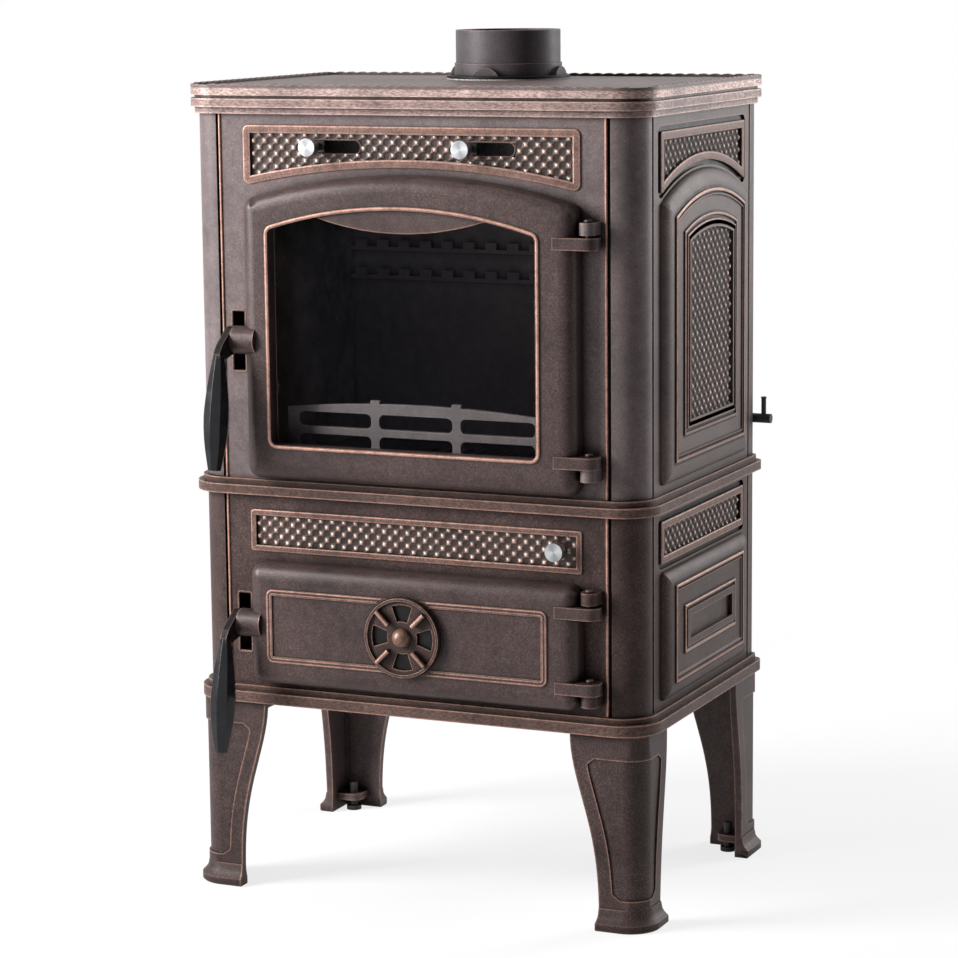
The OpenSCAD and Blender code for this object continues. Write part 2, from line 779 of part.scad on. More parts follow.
module side_plate(upper) {
  z = upper ? upper_z : lower_z;
  h = upper ? upper_h : lower_h;
  z1 = upper ? cornice_z - side_lattice_down : band_z - low_lattice_down;
  lattice_h = upper ? side_lattice_h : low_side_lattice_h;
  rise = upper ? side_lattice_arch : 0;
  color(iron) {
    difference() {
      union() {
        side_blank(z, h);
        if (upper) relief(upper_z + relief_foot, relief_h, relief_arch, relief_in, centre_in, 0);
        else relief(lower_z + low_relief_foot, low_relief_h, 0, low_relief_in, low_centre_in,
              low_relief_trim);
      }
      translate([0, side_mid_y, 0]) sideways(half_w - panel_recess, panel_recess + over)
        polygon(lattice(z1, lattice_h, rise, -lattice_groove));
    }
    translate([0, side_mid_y, 0])
      sideways(half_w - panel_recess - eps, panel_recess + panel_frame_h + eps) difference() {
        polygon(lattice(z1, lattice_h, rise, 0));
        polygon(lattice(z1, lattice_h, rise, panel_frame));
      }
  }
}

module upper_right_side_plate() side_plate(true);
module upper_left_side_plate() mirror([1, 0, 0]) side_plate(true);
module lower_right_side_plate() side_plate(false);
module lower_left_side_plate() mirror([1, 0, 0]) side_plate(false);

// A back plate with its two returns along the sides
module back_plate(z, h) {
  box(-half_w, half_w, rear_y - plate_t, rear_y, z, z + h);
  for (x = [-half_w, half_w - post_t])
    box(x, x + post_t, rear_y - rear_return, rear_y, z, z + h);
}

flap_x1 = half_w - 22;
flap_x0 = flap_x1 - flap_w;
flap_axis_y = rear_y + flap_shaft_y;
flap_axis_z = upper_z + flap_shaft_z;
flap_t = 2.5;
flap_off = 1; // gap between the closed flap and the back plate
flap_low = 35; // distance of the flap's lower edge under the shaft's axis
flap_high = 7; // distance of its upper edge under the shaft's axis
bearing_t = 8; // thickness of the shaft's two bearings
bearing_x = [flap_x0 - 14, flap_x1 + 5];

module upper_back_plate() {
  color(iron) difference() {
    union() {
      back_plate(upper_z, upper_h);
      for (x = bearing_x) {
        box(x, x + bearing_t, rear_y - over, flap_axis_y, flap_axis_z - flap_ear_r, flap_axis_z + flap_ear_r);
        bar_x(x, flap_axis_y, flap_axis_z, bearing_t, flap_ear_r);
      }
    }
    for (x = bearing_x)
      bar_x(x - over, flap_axis_y, flap_axis_z, bearing_t + 2 * over, flap_shaft_r + running_gap);
    box(flap_x0 + 10, flap_x1 - 10, rear_y - plate_t - over, rear_y + over,
      flap_axis_z - flap_low + 5, flap_axis_z - flap_high - 4);
  }
}

module lower_back_plate() color(iron) back_plate(lower_z, lower_h);

// A lug on the front plate that carries a hinge pin; z is its lower face
module hinge_lug(z) {
  bar_z(hinge_x, hinge_y, z, knuckle_h, knuckle_r);
  box(hinge_x - knuckle_r, hinge_x + knuckle_r, hinge_y, front_y + over, z, z + knuckle_h);
}

module hinge_bore(z) {
  bar_z(hinge_x, hinge_y, z - over, knuckle_h + 2 * over, hinge_pin_r + running_gap);
}

// Lower faces of the straps and of the lugs they turn beside
top_lug_gap = 2.5; // free height between an upper strap and the lug above it
fire_strap_z = [fire_door_z + fire_strap_low, fire_door_z + fire_door_h - fire_strap_drop];
ash_strap_z = [ash_door_z + ash_strap_low, ash_door_z + ash_door_h - ash_strap_drop];
function lug_z(strap_z) =
  [strap_z[0] - knuckle_gap - knuckle_h, strap_z[1] + knuckle_h + top_lug_gap];
fire_lug_z = lug_z(fire_strap_z);
ash_lug_z = lug_z(ash_strap_z);

module latch_slot(axis_z) {
  box(-latch_x - latch_slot_w / 2, -latch_x + latch_slot_w / 2,
    front_y - over, front_y + plate_t + over, axis_z - latch_slot_down, axis_z + latch_slot_up);
}

air_slot_z = cornice_z - air_slot_down;
panel_z1 = cornice_z - panel_top;
low_panel_z1 = band_z - low_panel_top;
riddle_z = low_panel_z1 - low_panel_h / 2 + 2;
pocket_screw_r = 2;
pocket_screw_in = 4; // depth of a pocket's screw in the front plate

module pocket_screw_holes(axis_z) {
  pocket_screw_places(axis_z) bar_y(0, front_y + plate_t - pocket_screw_in - 0.5, 0,
    pocket_screw_in + 0.5 + over, pocket_screw_r + screw_gap);
}

module upper_front_plate() {
  color(iron) difference() {
    union() {
      box(-plate_half_w, plate_half_w, front_y, front_y + plate_t, upper_z, cornice_z);
      forward(front_y + over, over + panel_frame_h)
        polygon(vaulted(panel_half_w, panel_z1 - panel_h, panel_z1, panel_arch, 7));
      for (z = fire_lug_z) hinge_lug(z);
    }
    forward(front_y + panel_recess, panel_recess + panel_frame_h + over)
      polygon(vaulted(panel_half_w, panel_z1 - panel_h, panel_z1, panel_arch, 7, panel_frame));
    translate([door_shift, 0, 0]) forward(front_y + plate_t + over, plate_t + 2 * over)
      polygon(fire_outline(door_lap));
    for (side = [-1, 1])
      box(side * air_slot_x - air_slot_l / 2, side * air_slot_x + air_slot_l / 2,
        front_y - 3 * over, front_y + plate_t + over,
        air_slot_z - air_slot_h / 2, air_slot_z + air_slot_h / 2);
    latch_slot(fire_latch_axis_z);
    for (z = fire_lug_z) hinge_bore(z);
    pocket_screw_holes(fire_latch_axis_z);
  }
}

module lower_front_plate() {
  color(iron) difference() {
    union() {
      box(-plate_half_w, plate_half_w, front_y, front_y + plate_t, lower_z, band_z);
      forward(front_y + over, over + panel_frame_h)
        polygon(rounded(panel_half_w, low_panel_z1 - low_panel_h, low_panel_z1, 3));
      for (z = ash_lug_z) hinge_lug(z);
    }
    forward(front_y + panel_recess, panel_recess + panel_frame_h + over)
      polygon(rounded(panel_half_w, low_panel_z1 - low_panel_h, low_panel_z1, 3, panel_frame - 2));
    translate([door_shift, 0, 0]) forward(front_y + plate_t + over, plate_t + 2 * over)
      polygon(ash_outline(door_lap));
    bar_y(riddle_x, front_y - over, riddle_z, plate_t + 2 * over, stem_r + running_gap);
    latch_slot(ash_latch_axis_z);
    for (z = ash_lug_z) hinge_bore(z);
    pocket_screw_holes(ash_latch_axis_z);
  }
}

pocket_w = latch_slot_w + 2; // room inside a pocket
pocket_d = 33;
pocket_up = latch_slot_up + 14; // room above the latch axis, behind the plate's edge
pocket_wall = 3;
pocket_ear = 11;

module pocket_screw_places(axis_z) {
  for (z = [axis_z + pocket_up + pocket_wall + pocket_ear / 2,
        axis_z - latch_slot_down - pocket_wall - pocket_ear / 2])
    translate([-latch_x, 0, z]) children();
}

module latch_pocket(axis_z) {
  y = front_y + plate_t;
  z0 = axis_z - latch_slot_down;
  z1 = axis_z + pocket_up;
  w = pocket_w / 2 + pocket_wall;
  difference() {
    union() {
      box(-latch_x - w, -latch_x + w, y, y + pocket_d + pocket_wall, z0 - pocket_wall, z1 + pocket_wall);
      box(-latch_x - w, -latch_x + w, y, y + pocket_wall,
        z0 - pocket_wall - pocket_ear, z1 + pocket_wall + pocket_ear);
    }
    box(-latch_x - pocket_w / 2, -latch_x + pocket_w / 2, y - over, y + pocket_d, z0, z1);
    pocket_screw_places(axis_z) bar_y(0, y - over, 0, pocket_wall + 2 * over, pocket_screw_r + screw_gap);
  }
}

module latch_pockets() {
  color(iron) for (z = [fire_latch_axis_z, ash_latch_axis_z]) latch_pocket(z);
}

module latch_pocket_screws() {
  y = front_y + plate_t;
  color(steel) for (z = [fire_latch_axis_z, ash_latch_axis_z]) pocket_screw_places(z) {
    bar_y(0, y - pocket_screw_in, 0, pocket_screw_in + pocket_wall + eps, pocket_screw_r);
    bar_y(0, y + pocket_wall, 0, 2.5, 2 * pocket_screw_r);
  }
}

// ---------- doors ----------

function pillow_in(a) = pillow_w * (1 - cos(a));

module pillow(fire) {
  hull() {
    forward(door_back_y, eps) polygon(fire ? fire_outline(0) : ash_outline(0));
    for (a = pillow_angles)
      forward(door_face_y + pillow_d * (1 - sin(a)) + eps, eps)
        polygon(fire ? fire_outline(pillow_in(a)) : ash_outline(pillow_in(a)));
  }
}

// A strap from the door to its knuckle; z is its lower face
strap_r = min(door_gap + door_t - hinge_stand, hinge_stand - 2) + 1;
strap_l = 36; // length of a strap beside its knuckle's middle
module door_strap(z) {
  bar_z(hinge_x, hinge_y, z, knuckle_h, strap_r);
  box(hinge_x - strap_l, hinge_x, hinge_y - strap_r, hinge_y + knuckle_r, z, z + knuckle_h);
}

barrel_x0 = -latch_x + lever_t / 2 + 0.5;
barrel_x1 = door_shift - door_w / 2 + 16;
module door_barrel(axis_z) {
  bar_x(barrel_x0, latch_y, axis_z, barrel_x1 - barrel_x0, barrel_r);
}

module barrel_bore(axis_z) {
  bar_x(barrel_x0 - over, latch_y, axis_z, barrel_x1 - barrel_x0 + over - 3, latch_pin_r + running_gap);
}

// The window with the curved apron left standing in its arch
module window_hole() {
  big = arch_radius(window_w / 2, window_arch);
  crown = window_z + window_h;
  end_z = crown - big + sqrt(big * big - apron_w * apron_w / 4);
  dip = end_z - (crown - apron_drop);
  r = arch_radius(apron_w / 2, dip);
  difference() {
    polygon(window_outline(0));
    intersection() {
      translate([-apron_w / 2, crown - apron_drop - over]) square([apron_w, apron_drop + 2 * over]);
      translate([0, crown - apron_drop + r]) circle(r, $fn = 240);
    }
  }
}

clip_drop = 2; // depth of the glass's back face inside the door's back
glass_y = door_back_y - (glass_t + gasket_t + clip_drop);
module fire_door() {
  color(iron) difference() {
    union() {
      translate([door_shift, 0, 0]) pillow(true);
      forward(door_face_y + over, over + window_bead_h) polygon(window_outline(-window_bead));
      for (z = fire_strap_z) door_strap(z);
      door_barrel(fire_latch_axis_z);
    }
    forward(door_back_y + over, door_t + 2 * over + window_bead_h) window_hole();
    forward(door_face_y + apron_recess, apron_recess + window_bead_h + over)
      polygon(window_outline(0));
    forward(door_back_y + over, over + glass_t + gasket_t + clip_drop)
      polygon(window_outline(-glass_lap));
    translate([door_shift, 0, 0]) forward(door_back_y + over, over + seal_d) difference() {
      polygon(fire_outline(seal_in));
      polygon(fire_outline(seal_in + seal_w));
    }
    for (z = fire_strap_z) hinge_bore(z);
    barrel_bore(fire_latch_axis_z);
    clip_places() bar_y(0, door_back_y - clip_screw_in - 0.5, 0, clip_screw_in + 0.5 + over, clip_screw_r + screw_gap);
  }
}

module window_gasket() {
  color(rope) forward(glass_y + gasket_t, gasket_t - eps) difference() {
    polygon(window_outline(-glass_lap + slide_gap));
    polygon(window_outline(-1));
  }
}

module window_glass() {
  color([0.2, 0.2, 0.22, 0.5]) forward(glass_y + gasket_t + glass_t, glass_t)
    polygon(window_outline(-glass_lap + 2 * slide_gap));
}

clip_w = 14;
clip_t = 2;
clip_screw_r = 1.5;
clip_screw_in = 8;
clip_rows = [60, 180]; // heights of the clips above the window's sill
clip_arm = 3.2; // distance of a clip's screw outside the glass's rebate
module clip_places() {
  for (side = [-1, 1], z = clip_rows)
    translate([side * (window_w / 2 + glass_lap + clip_arm), 0, window_z + z]) children();
}

module glass_clips() {
  x_in = clip_arm + glass_lap - 1;
  color(steel) for (side = [-1, 1], z = clip_rows)
    translate([side * (window_w / 2 + glass_lap + clip_arm), 0, window_z + z])
      mirror([side > 0 ? 0 : 1, 0, 0]) difference() {
        union() {
          box(-x_in, -clip_arm - slide_gap, door_back_y - clip_drop, door_back_y, -clip_w / 2, clip_w / 2);
          box(-x_in, 3.5, door_back_y, door_back_y + clip_t - 0.4, -clip_w / 2, clip_w / 2);
        }
        bar_y(0, door_back_y - over, 0, clip_t + 2 * over, clip_screw_r + screw_gap);
      }
}

module glass_clip_screws() {
  color(steel) clip_places() {
    bar_y(0, door_back_y - clip_screw_in, 0, clip_screw_in + clip_t - 0.4 + eps, clip_screw_r);
    bar_y(0, door_back_y + clip_t - 0.4, 0, 2, clip_screw_r + 0.8);
  }
}

module seal(outline_in, outline_out) {
  color(rope) translate([door_shift, 0, 0])
    forward(front_y - slide_gap, seal_d + door_gap - slide_gap) difference() {
      polygon(outline_out);
      polygon(outline_in);
    }
}

seal_play = 0.2; // clearance of a rope seal in its groove
module fire_door_rope_seal()
  seal(fire_outline(seal_in + seal_w - seal_play), fire_outline(seal_in + seal_play));
module ash_door_rope_seal()
  seal(ash_outline(seal_in + seal_w - seal_play), ash_outline(seal_in + seal_play));

valve_seat_h = 1.5; // height of the round seat under the valve
valve_seat_y = door_face_y - valve_seat_h;
valve_back_y = valve_seat_y - slide_gap;
valve_bolt_r = 4;
valve_bolt_in = 16;

// A window of the valve: a sector between two radii
module valve_window() {
  difference() {
    intersection() {
      circle(valve_out_r);
      polygon([[0, 0],
           [2 * valve_out_r, -2 * valve_out_r * tan(valve_half_angle)],
           [2 * valve_out_r, 2 * valve_out_r * tan(valve_half_angle)]]);
    }
    circle(valve_in_r);
  }
}

module ash_door() {
  color(iron) difference() {
    union() {
      translate([door_shift, 0, 0]) pillow(false);
      forward(door_face_y + over, over + moulding_bead_h) difference() {
        polygon(rounded(moulding_half_w, valve_z - moulding_h / 2, valve_z + moulding_h / 2, 8));
        polygon(rounded(moulding_half_w, valve_z - moulding_h / 2, valve_z + moulding_h / 2, 8,
                moulding_bead));
        translate([0, valve_z]) circle(valve_r + 1.5, $fn = 96);
      }
      bar_y(0, valve_seat_y, valve_z, valve_seat_h + over, valve_r + 1.5);
      for (z = ash_strap_z) door_strap(z);
      door_barrel(ash_latch_axis_z);
    }
    for (a = [45 : 90 : 315])
      translate([0, 0, valve_z]) rotate([0, a, 0])
        forward(door_back_y + over, door_t + 2 * over + valve_seat_h) valve_window();
    bar_y(0, valve_seat_y - over, valve_z, valve_bolt_in + over, valve_bolt_r + screw_gap);
    translate([door_shift, 0, 0]) forward(door_back_y + over, over + seal_d) difference() {
      polygon(ash_outline(seal_in));
      polygon(ash_outline(seal_in + seal_w));
    }
    for (z = ash_strap_z) hinge_bore(z);
    barrel_bore(ash_latch_axis_z);
  }
}

module spin_valve() {
  color(iron) translate([0, 0, valve_z]) difference() {
    union() {
      forward(valve_back_y, valve_t) circle(valve_r, $fn = 96);
      forward(valve_back_y, valve_t + valve_rim_h) difference() {
        circle(valve_r, $fn = 96);
        circle(valve_r - valve_rim_w, $fn = 96);
      }
      for (a = [45 : 90 : 315]) rotate([0, a, 0])
        box(valve_in_r + 2.5, valve_r - valve_rim_w - 1, valve_back_y - valve_t - rib_h,
          valve_back_y - valve_t + over, -2, 2);
    }
    for (a = [0 : 90 : 270]) rotate([0, a, 0])
      forward(valve_back_y + over, valve_t + 2 * over) valve_window();
    bar_y(0, valve_back_y - valve_t - over, 0, valve_t + 2 * over, valve_bolt_r + running_gap);
  }
}

module spin_valve_bolt() {
  y = valve_back_y - valve_t - slide_gap;
  color(iron) {
    bar_y(0, y - eps, valve_z, valve_seat_y + valve_bolt_in - 1 - y, valve_bolt_r);
    intersection() {
      translate([0, y, valve_z]) sphere(dome_r);
      bar_y(0, y - dome_r - over, valve_z, dome_r + over, dome_r + over);
    }
  }
}

pin_head_h = 3;
pin_head_r = 4.5;
module hinge_pin(z0, z1) {
  bar_z(hinge_x, hinge_y, z0, z1 - z0 + eps, hinge_pin_r);
  bar_z(hinge_x, hinge_y, z1, pin_head_h, pin_head_r);
}

module hinge_pins() {
  color(iron) for (pair = [[fire_strap_z, fire_lug_z], [ash_strap_z, ash_lug_z]]) {
    hinge_pin(pair[1][0] + 1, pair[0][0] + knuckle_h + knuckle_gap);
    hinge_pin(pair[0][1] + 1, pair[1][1] + knuckle_h);
  }
}

// ---------- latches ----------

hook_h = 12; // height of the hook's arm
hook_nose_y = 34; // distance of the nose's front behind the latch axis
hook_nose_t = 9; // thickness of the nose
hook_nose_z = 26; // height of the nose's tip above the latch axis
tang_r = 3.5; // radius of the tang inside a grip
tang_l = 30;

module latch_lever(axis_z) {
  color(black) translate([-latch_x - lever_t / 2, latch_y, axis_z]) difference() {
    union() {
      rotate([90, 0, 90]) linear_extrude(lever_t) {
        hull() {
          circle(hub_r);
          translate([-lever_reach + 8, -lever_drop + 9]) circle(8.5);
          translate([-lever_reach, -lever_drop + 3]) circle(6);
        }
        translate([0, -hook_h / 2]) square([hook_nose_y + hook_nose_t, hook_h]);
        translate([hook_nose_y, -hook_h / 2]) square([hook_nose_t, hook_h / 2 + hook_nose_z]);
      }
      translate([lever_t / 2, -lever_reach, -lever_drop]) rotate([-grip_lean, 0, 0])
        bar_z(0, 0, -tang_l, tang_l + 2, tang_r);
    }
    bar_x(-over, 0, 0, lever_t + 2 * over, latch_pin_r + running_gap);
  }
}

module fire_door_latch() latch_lever(fire_latch_axis_z);
module ash_door_latch() latch_lever(ash_latch_axis_z);

module latch_grip(axis_z) {
  color(black) translate([-latch_x, latch_y - lever_reach, axis_z - lever_drop])
    rotate([-grip_lean, 0, 0]) difference() {
      rotate_extrude($fn = 8) polygon([
        [0, -4.5], [grip_neck_r, -4.5], [grip_neck_r + 4, -0.16 * grip_l],
        [grip_r - 1.2, -0.36 * grip_l], [grip_r, -0.52 * grip_l],
        [grip_r - 1.4, -0.72 * grip_l], [grip_end_r + 2.2, -0.9 * grip_l],
        [grip_end_r, -grip_l], [0, -grip_l]]);
      bar_z(0, 0, -tang_l - 1, tang_l + 2, tang_r + screw_gap);
    }
}

module fire_door_grip() latch_grip(fire_latch_axis_z);
module ash_door_grip() latch_grip(ash_latch_axis_z);

module latch_pin(axis_z) {
  color(steel) {
    bar_x(-latch_x - lever_t / 2 - 1 - eps, latch_y, axis_z,
        barrel_x1 - 4 + latch_x + lever_t / 2 + 1, latch_pin_r);
    bar_x(-latch_x - lever_t / 2 - 3.5, latch_y, axis_z, 2.5, latch_pin_r + 2.5);
  }
}

module fire_door_latch_pin() latch_pin(fire_latch_axis_z);
module ash_door_latch_pin() latch_pin(ash_latch_axis_z);

// ---------- air slides ----------

knob_y = front_y - knob_stand;
shutter_y = front_y + plate_t + slide_gap;

module knob_and_stem(x, z, stem_end_y) {
  bar_y(x, knob_y, z, knob_t, knob_r);
  bar_y(x, knob_y + knob_t - eps, z, stem_end_y - knob_y - knob_t + eps, stem_r);
}

module air_slide(slot_x) {
  x = slot_x - air_slot_l / 2 + knob_inset;
  color(steel) {
    knob_and_stem(x, air_slot_z, shutter_y + eps);
    box(x + stem_r + 4 - shutter_l, x + stem_r + 4, shutter_y, shutter_y + shutter_t,
      air_slot_z - shutter_h / 2, air_slot_z + shutter_h / 2);
  }
}

module left_air_slide() air_slide(-air_slot_x);
module right_air_slide() air_slide(air_slot_x);

rail_lip = 3; // height of a rail's lip over a shutter's edge
rail_h = 6;
rail_half_l = 190;
module shutter_rails() {
  y0 = front_y + plate_t;
  y1 = shutter_y + shutter_t + slide_gap;
  edge = shutter_h / 2 + slide_gap;
  color(iron) for (side = [-1, 1]) translate([0, 0, air_slot_z]) mirror([0, 0, side > 0 ? 0 : 1]) {
    box(-rail_half_l, rail_half_l, y0, y1 + 2, edge, edge + rail_h);
    box(-rail_half_l, rail_half_l, y1, y1 + 2, edge - rail_lip, edge + eps);
  }
}

duct_t = 2;
duct_d = 38;
duct_half_w = 200;
duct_low = 45; // depth of the duct below the air slots' middle
module airwash_duct() {
  y0 = front_y + plate_t;
  y1 = y0 + duct_d;
  z0 = air_slot_z - duct_low;
  z1 = cornice_z - 4;
  color(steel) {
    box(-duct_half_w, duct_half_w, y1 - duct_t, y1, z0, z1);
    box(-duct_half_w, duct_half_w, y0, y1 - duct_t + eps, z1 - duct_t, z1);
    for (x = [-duct_half_w, duct_half_w - duct_t]) box(x, x + duct_t, y0, y1, z0, z1);
  }
}

// ---------- firebox ----------

grate_x = grate_w / 2;
grate_y0 = mid_y - grate_d / 2;
hearth_z = band_z + ledge_t;
hearth_top = hearth_z + floor_t;
grate_lip = 8;
grate_lip_t = 4;

module hearth_plate() {
  color(iron) difference() {
    union() {
      floor_plate(hearth_z);
      for (side = [0, 1]) mirror([side, 0, 0]) {
        box(runner_x - runner_t, runner_x + 4, grate_y0, grate_y0 + grate_d,
          riddle_plate_z - runner_lip_t, hearth_z + eps);
        box(runner_x - runner_t - runner_lip, runner_x, grate_y0, grate_y0 + grate_d,
          riddle_plate_z - runner_lip_t, riddle_plate_z);
      }
    }
    box(-grate_x, grate_x, grate_y0, grate_y0 + grate_d, hearth_z + grate_lip_t, hearth_top + over);
    box(-grate_x + grate_lip, grate_x - grate_lip, grate_y0 + grate_lip, grate_y0 + grate_d - grate_lip,
      hearth_z - eps, hearth_top);
  }
}

module grate() {
  n = floor((grate_w - 5 * grate_bar) / (2 * grate_bar));
  start = -(n - 0.5) * grate_bar;
  color(iron) difference() {
    box(-grate_x + slide_gap, grate_x - slide_gap, grate_y0 + slide_gap, grate_y0 + grate_d - slide_gap,
      hearth_z + grate_lip_t, hearth_z + grate_lip_t + grate_t);
    for (i = [0 : n - 1])
      box(start + 2 * i * grate_bar, start + (2 * i + 1) * grate_bar,
        grate_y0 + 2.5 * grate_bar, grate_y0 + grate_d - 2.5 * grate_bar,
        hearth_z, hearth_z + grate_t + 2 * grate_lip_t);
  }
}

// The riddling grate: a slotted plate under the grate, its runners, rod and knob
riddle_plate_t = 6;
runner_t = 5;
runner_lip = 6;
runner_lip_t = 4;
runner_x = grate_x - 8;
riddle_plate_z = hearth_z - 14;
riddle_bar_y = front_y + 92;
riddle_bar_t = 9;
riddle_bar_h = 17;
riddle_post_w = 12;
riddle_stem_end = riddle_bar_y + riddle_bar_t - 1;

module riddling_grate() {
  x = runner_x - runner_t - slide_gap;
  y0 = grate_y0 + riddle_travel + 12;
  y1 = grate_y0 + grate_d - 12;
  n = floor((2 * x - 5 * grate_bar) / (2 * grate_bar));
  start = -(n - 0.5) * grate_bar;
  post_x = runner_x - runner_t - 22;
  color(iron) {
    difference() {
      box(-x, x, y0, y1, riddle_plate_z, riddle_plate_z + riddle_plate_t);
      for (i = [0 : n - 1])
        box(start + 2 * i * grate_bar, start + (2 * i + 1) * grate_bar,
          y0 + 2 * grate_bar, y1 - 2 * grate_bar, riddle_plate_z - over,
          riddle_plate_z + riddle_plate_t + over);
    }
    box(post_x, post_x + riddle_post_w, riddle_bar_y, riddle_bar_y + riddle_bar_t,
      riddle_z - riddle_bar_h / 2, riddle_plate_z + eps);
    box(post_x, post_x + riddle_post_w, riddle_bar_y, y0 + 6, riddle_plate_z - 4, riddle_plate_z + eps);
    box(post_x, riddle_x + 9, riddle_bar_y, riddle_bar_y + riddle_bar_t,
      riddle_z - riddle_bar_h / 2, riddle_z + riddle_bar_h / 2);
    knob_and_stem(riddle_x, riddle_z, riddle_bar_y + eps);
  }
}

module liner(side) {
  x = half_w - plate_t - liner_gap;
  color(firebrick) mirror([side > 0 ? 0 : 1, 0, 0])
    box(x - liner_t, x, front_y + 24, rear_y - plate_t - liner_gap, upper_z, upper_z + liner_h);
}

module left_liner() liner(-1);
module right_liner() liner(1);

back_liner_y = rear_y - plate_t - liner_gap;
tooth_rows = [192, 226];
tooth_w = 14;
tooth_h = 8;
tooth_d = 7;
module back_liner() {
  x = half_w - plate_t - liner_gap - liner_t;
  w = x - slide_gap;
  n = floor(2 * w / (2 * tooth_w));
  color(iron) {
    box(-w, w, back_liner_y - liner_t, back_liner_y, upper_z, upper_z + liner_h);
    for (row = tooth_rows) {
      box(-w, w, back_liner_y - liner_t - tooth_d, back_liner_y - liner_t + eps,
        upper_z + row, upper_z + row + 4);
      for (i = [0 : n - 1])
        box(-n * tooth_w + tooth_w / 2 + 2 * i * tooth_w, -n * tooth_w + 1.5 * tooth_w + 2 * i * tooth_w,
          back_liner_y - liner_t - tooth_d, back_liner_y - liner_t + eps,
          upper_z + row + 4 - eps, upper_z + row + 4 + tooth_h);
    }
  }
}

module baffle_plate() {
  x = half_w - plate_t - liner_gap;
  z = upper_z + liner_h;
  color(firebrick) box(-x, x, front_y + 96, back_liner_y, z, z + baffle_t);
}

// The log guard stands behind the plate, in the door's opening
guard_y = front_y + plate_t + 3;
guard_rise = 8;
guard_slot_h = 16;
guard_slot_half_w = 43.5;
guard_column = 97;
crown_w = 11;
crown_h = 5;
guard_foot = 8;
module log_guard() {
  z0 = upper_z;
  slot_rows = [z0 + 36, z0 + 60.5];
  big = arch_radius(guard_half_w, guard_rise);
  color(iron) {
    difference() {
      union() {
        forward(guard_y + guard_t, guard_t) polygon(concat(
          [[-guard_half_w, z0], [guard_half_w, z0]],
          arc(0, z0 + guard_h + guard_rise - big, big, 90 - asin(guard_half_w / big),
            90 + asin(guard_half_w / big), arch_steps)));
        for (side = [-1, 1])
          translate([0, 0, z0 + guard_h + guard_rise])
            box(side * guard_column / 2 - crown_w / 2, side * guard_column / 2 + crown_w / 2,
              guard_y, guard_y + guard_t, -6, crown_h - 2);
      }
      for (column = [-1, 0, 1], z = slot_rows)
        translate([column * guard_column, 0, 0]) forward(guard_y + guard_t + over, guard_t + 2 * over)
          polygon(rounded(guard_slot_half_w, z, z + guard_slot_h, 6));
    }
    for (side = [-1, 1])
      box(side * (guard_half_w - 20) - 10, side * (guard_half_w - 20) + 10,
        guard_y + guard_t - eps, guard_y + guard_t + guard_foot + 8, z0, z0 + guard_foot);
  }
}

// ---------- ash pan ----------

pan_half_w = 150;
pan_y0 = front_y + 20;
pan_y1 = rear_y - 66;
pan_z = ash_door_z + door_lap + 2;
pan_handle_r = 4;
base_top = leg_h + ledge_t + floor_t;

module ash_pan() {
  w = pan_half_w;
  color(steel) {
    difference() {
      box(-w, w, pan_y0, pan_y1, pan_z, pan_z + pan_h);
      box(-w + pan_wall, w - pan_wall, pan_y0 + pan_wall, pan_y1 - pan_wall,
        pan_z + pan_wall, pan_z + pan_h + over);
    }
    for (side = [-1, 1])
      bar_y(side * 40, pan_y0 - 14, pan_z + pan_h / 2, 14 + eps, pan_handle_r);
    bar_x(-40 - pan_handle_r, pan_y0 - 14, pan_z + pan_h / 2, 80 + 2 * pan_handle_r, pan_handle_r);
  }
}

module ash_pan_runners() {
  color(iron) for (side = [-1, 1])
    translate([side * (pan_half_w - 14), 0, 0])
      box(-5, 5, front_y + ring_w + slide_gap, pan_y1 - 4, base_top, pan_z);
}

// ---------- rear air flap ----------

module rear_air_flap() {
  x_end = half_w + flap_shaft_out;
  x0 = bearing_x[0] - 4;
  crank_x = x_end - 9;
  color(iron) {
    bar_x(x0, flap_axis_y, flap_axis_z, x_end - x0, flap_shaft_r);
    bar_z(crank_x, flap_axis_y, flap_axis_z, crank_l - 2, crank_r);
    bar_z(crank_x, flap_axis_y, flap_axis_z + crank_l - 2 - eps, 2, crank_r + 0.4);
    box(flap_x0, flap_x1, rear_y + flap_off, rear_y + flap_off + flap_t,
      flap_axis_z - flap_low, flap_axis_z - flap_high);
    for (x = [flap_x0, flap_x1 - 3]) {
      bar_x(x, flap_axis_y, flap_axis_z, 3, flap_ear_r);
      box(x, x + 3, rear_y + flap_off, flap_axis_y + 2, flap_axis_z - flap_high - 6, flap_axis_z - 3);
    }
  }
}

// ---------- legs ----------

leg_knee = 115; // height at which a leg stands out furthest
leg_steps = 24;
web_t = 8; // thickness of a leg's top web and screw boss
leg_bolt_r = 4;
leg_bolt_in = 12;
level_r = 5;
level_z = 13; // height of the boss that holds the levelling screw
// A foot's rim and the cove over it: heights, and shares of the overhang
foot_steps = [[0, 0.8], [1.5, 1], [foot_h - 1.5, 1], [foot_h, 0.8], [foot_h + 2.5, 0.5],
  [foot_h + 6, 0.2], [foot_h + 14, 0]];
field_in = 16; // distance of a leg's sunk field from the leg's edges
field_z0 = 34;
field_z1 = leg_h - 27;
field_r = 9; // radius of the field's corners
field_d = 2; // depth of the field where the leg stands out furthest

// Share of a leg's taper at height z, from 0 above the foot to 1 at the top
function leg_taper(z) = (1 - cos(180 * pow(z / leg_h, 1.5))) / 2;
function leg_out(z) = leg_bulge - 1.5 * pow((z - leg_knee) / leg_knee, 2);

// A leg's outline seen from the front or from the side, with its outer edge to the right
function leg_side(outer, low, high) = concat(
  [for (i = [0 : leg_steps]) let (z = leg_h * i / leg_steps)
    [outer + leg_bulge - low - (high - low) * leg_taper(z), z]],
  [for (i = [leg_steps : -1 : 0]) let (z = leg_h * i / leg_steps) [outer + leg_out(z), z]]);

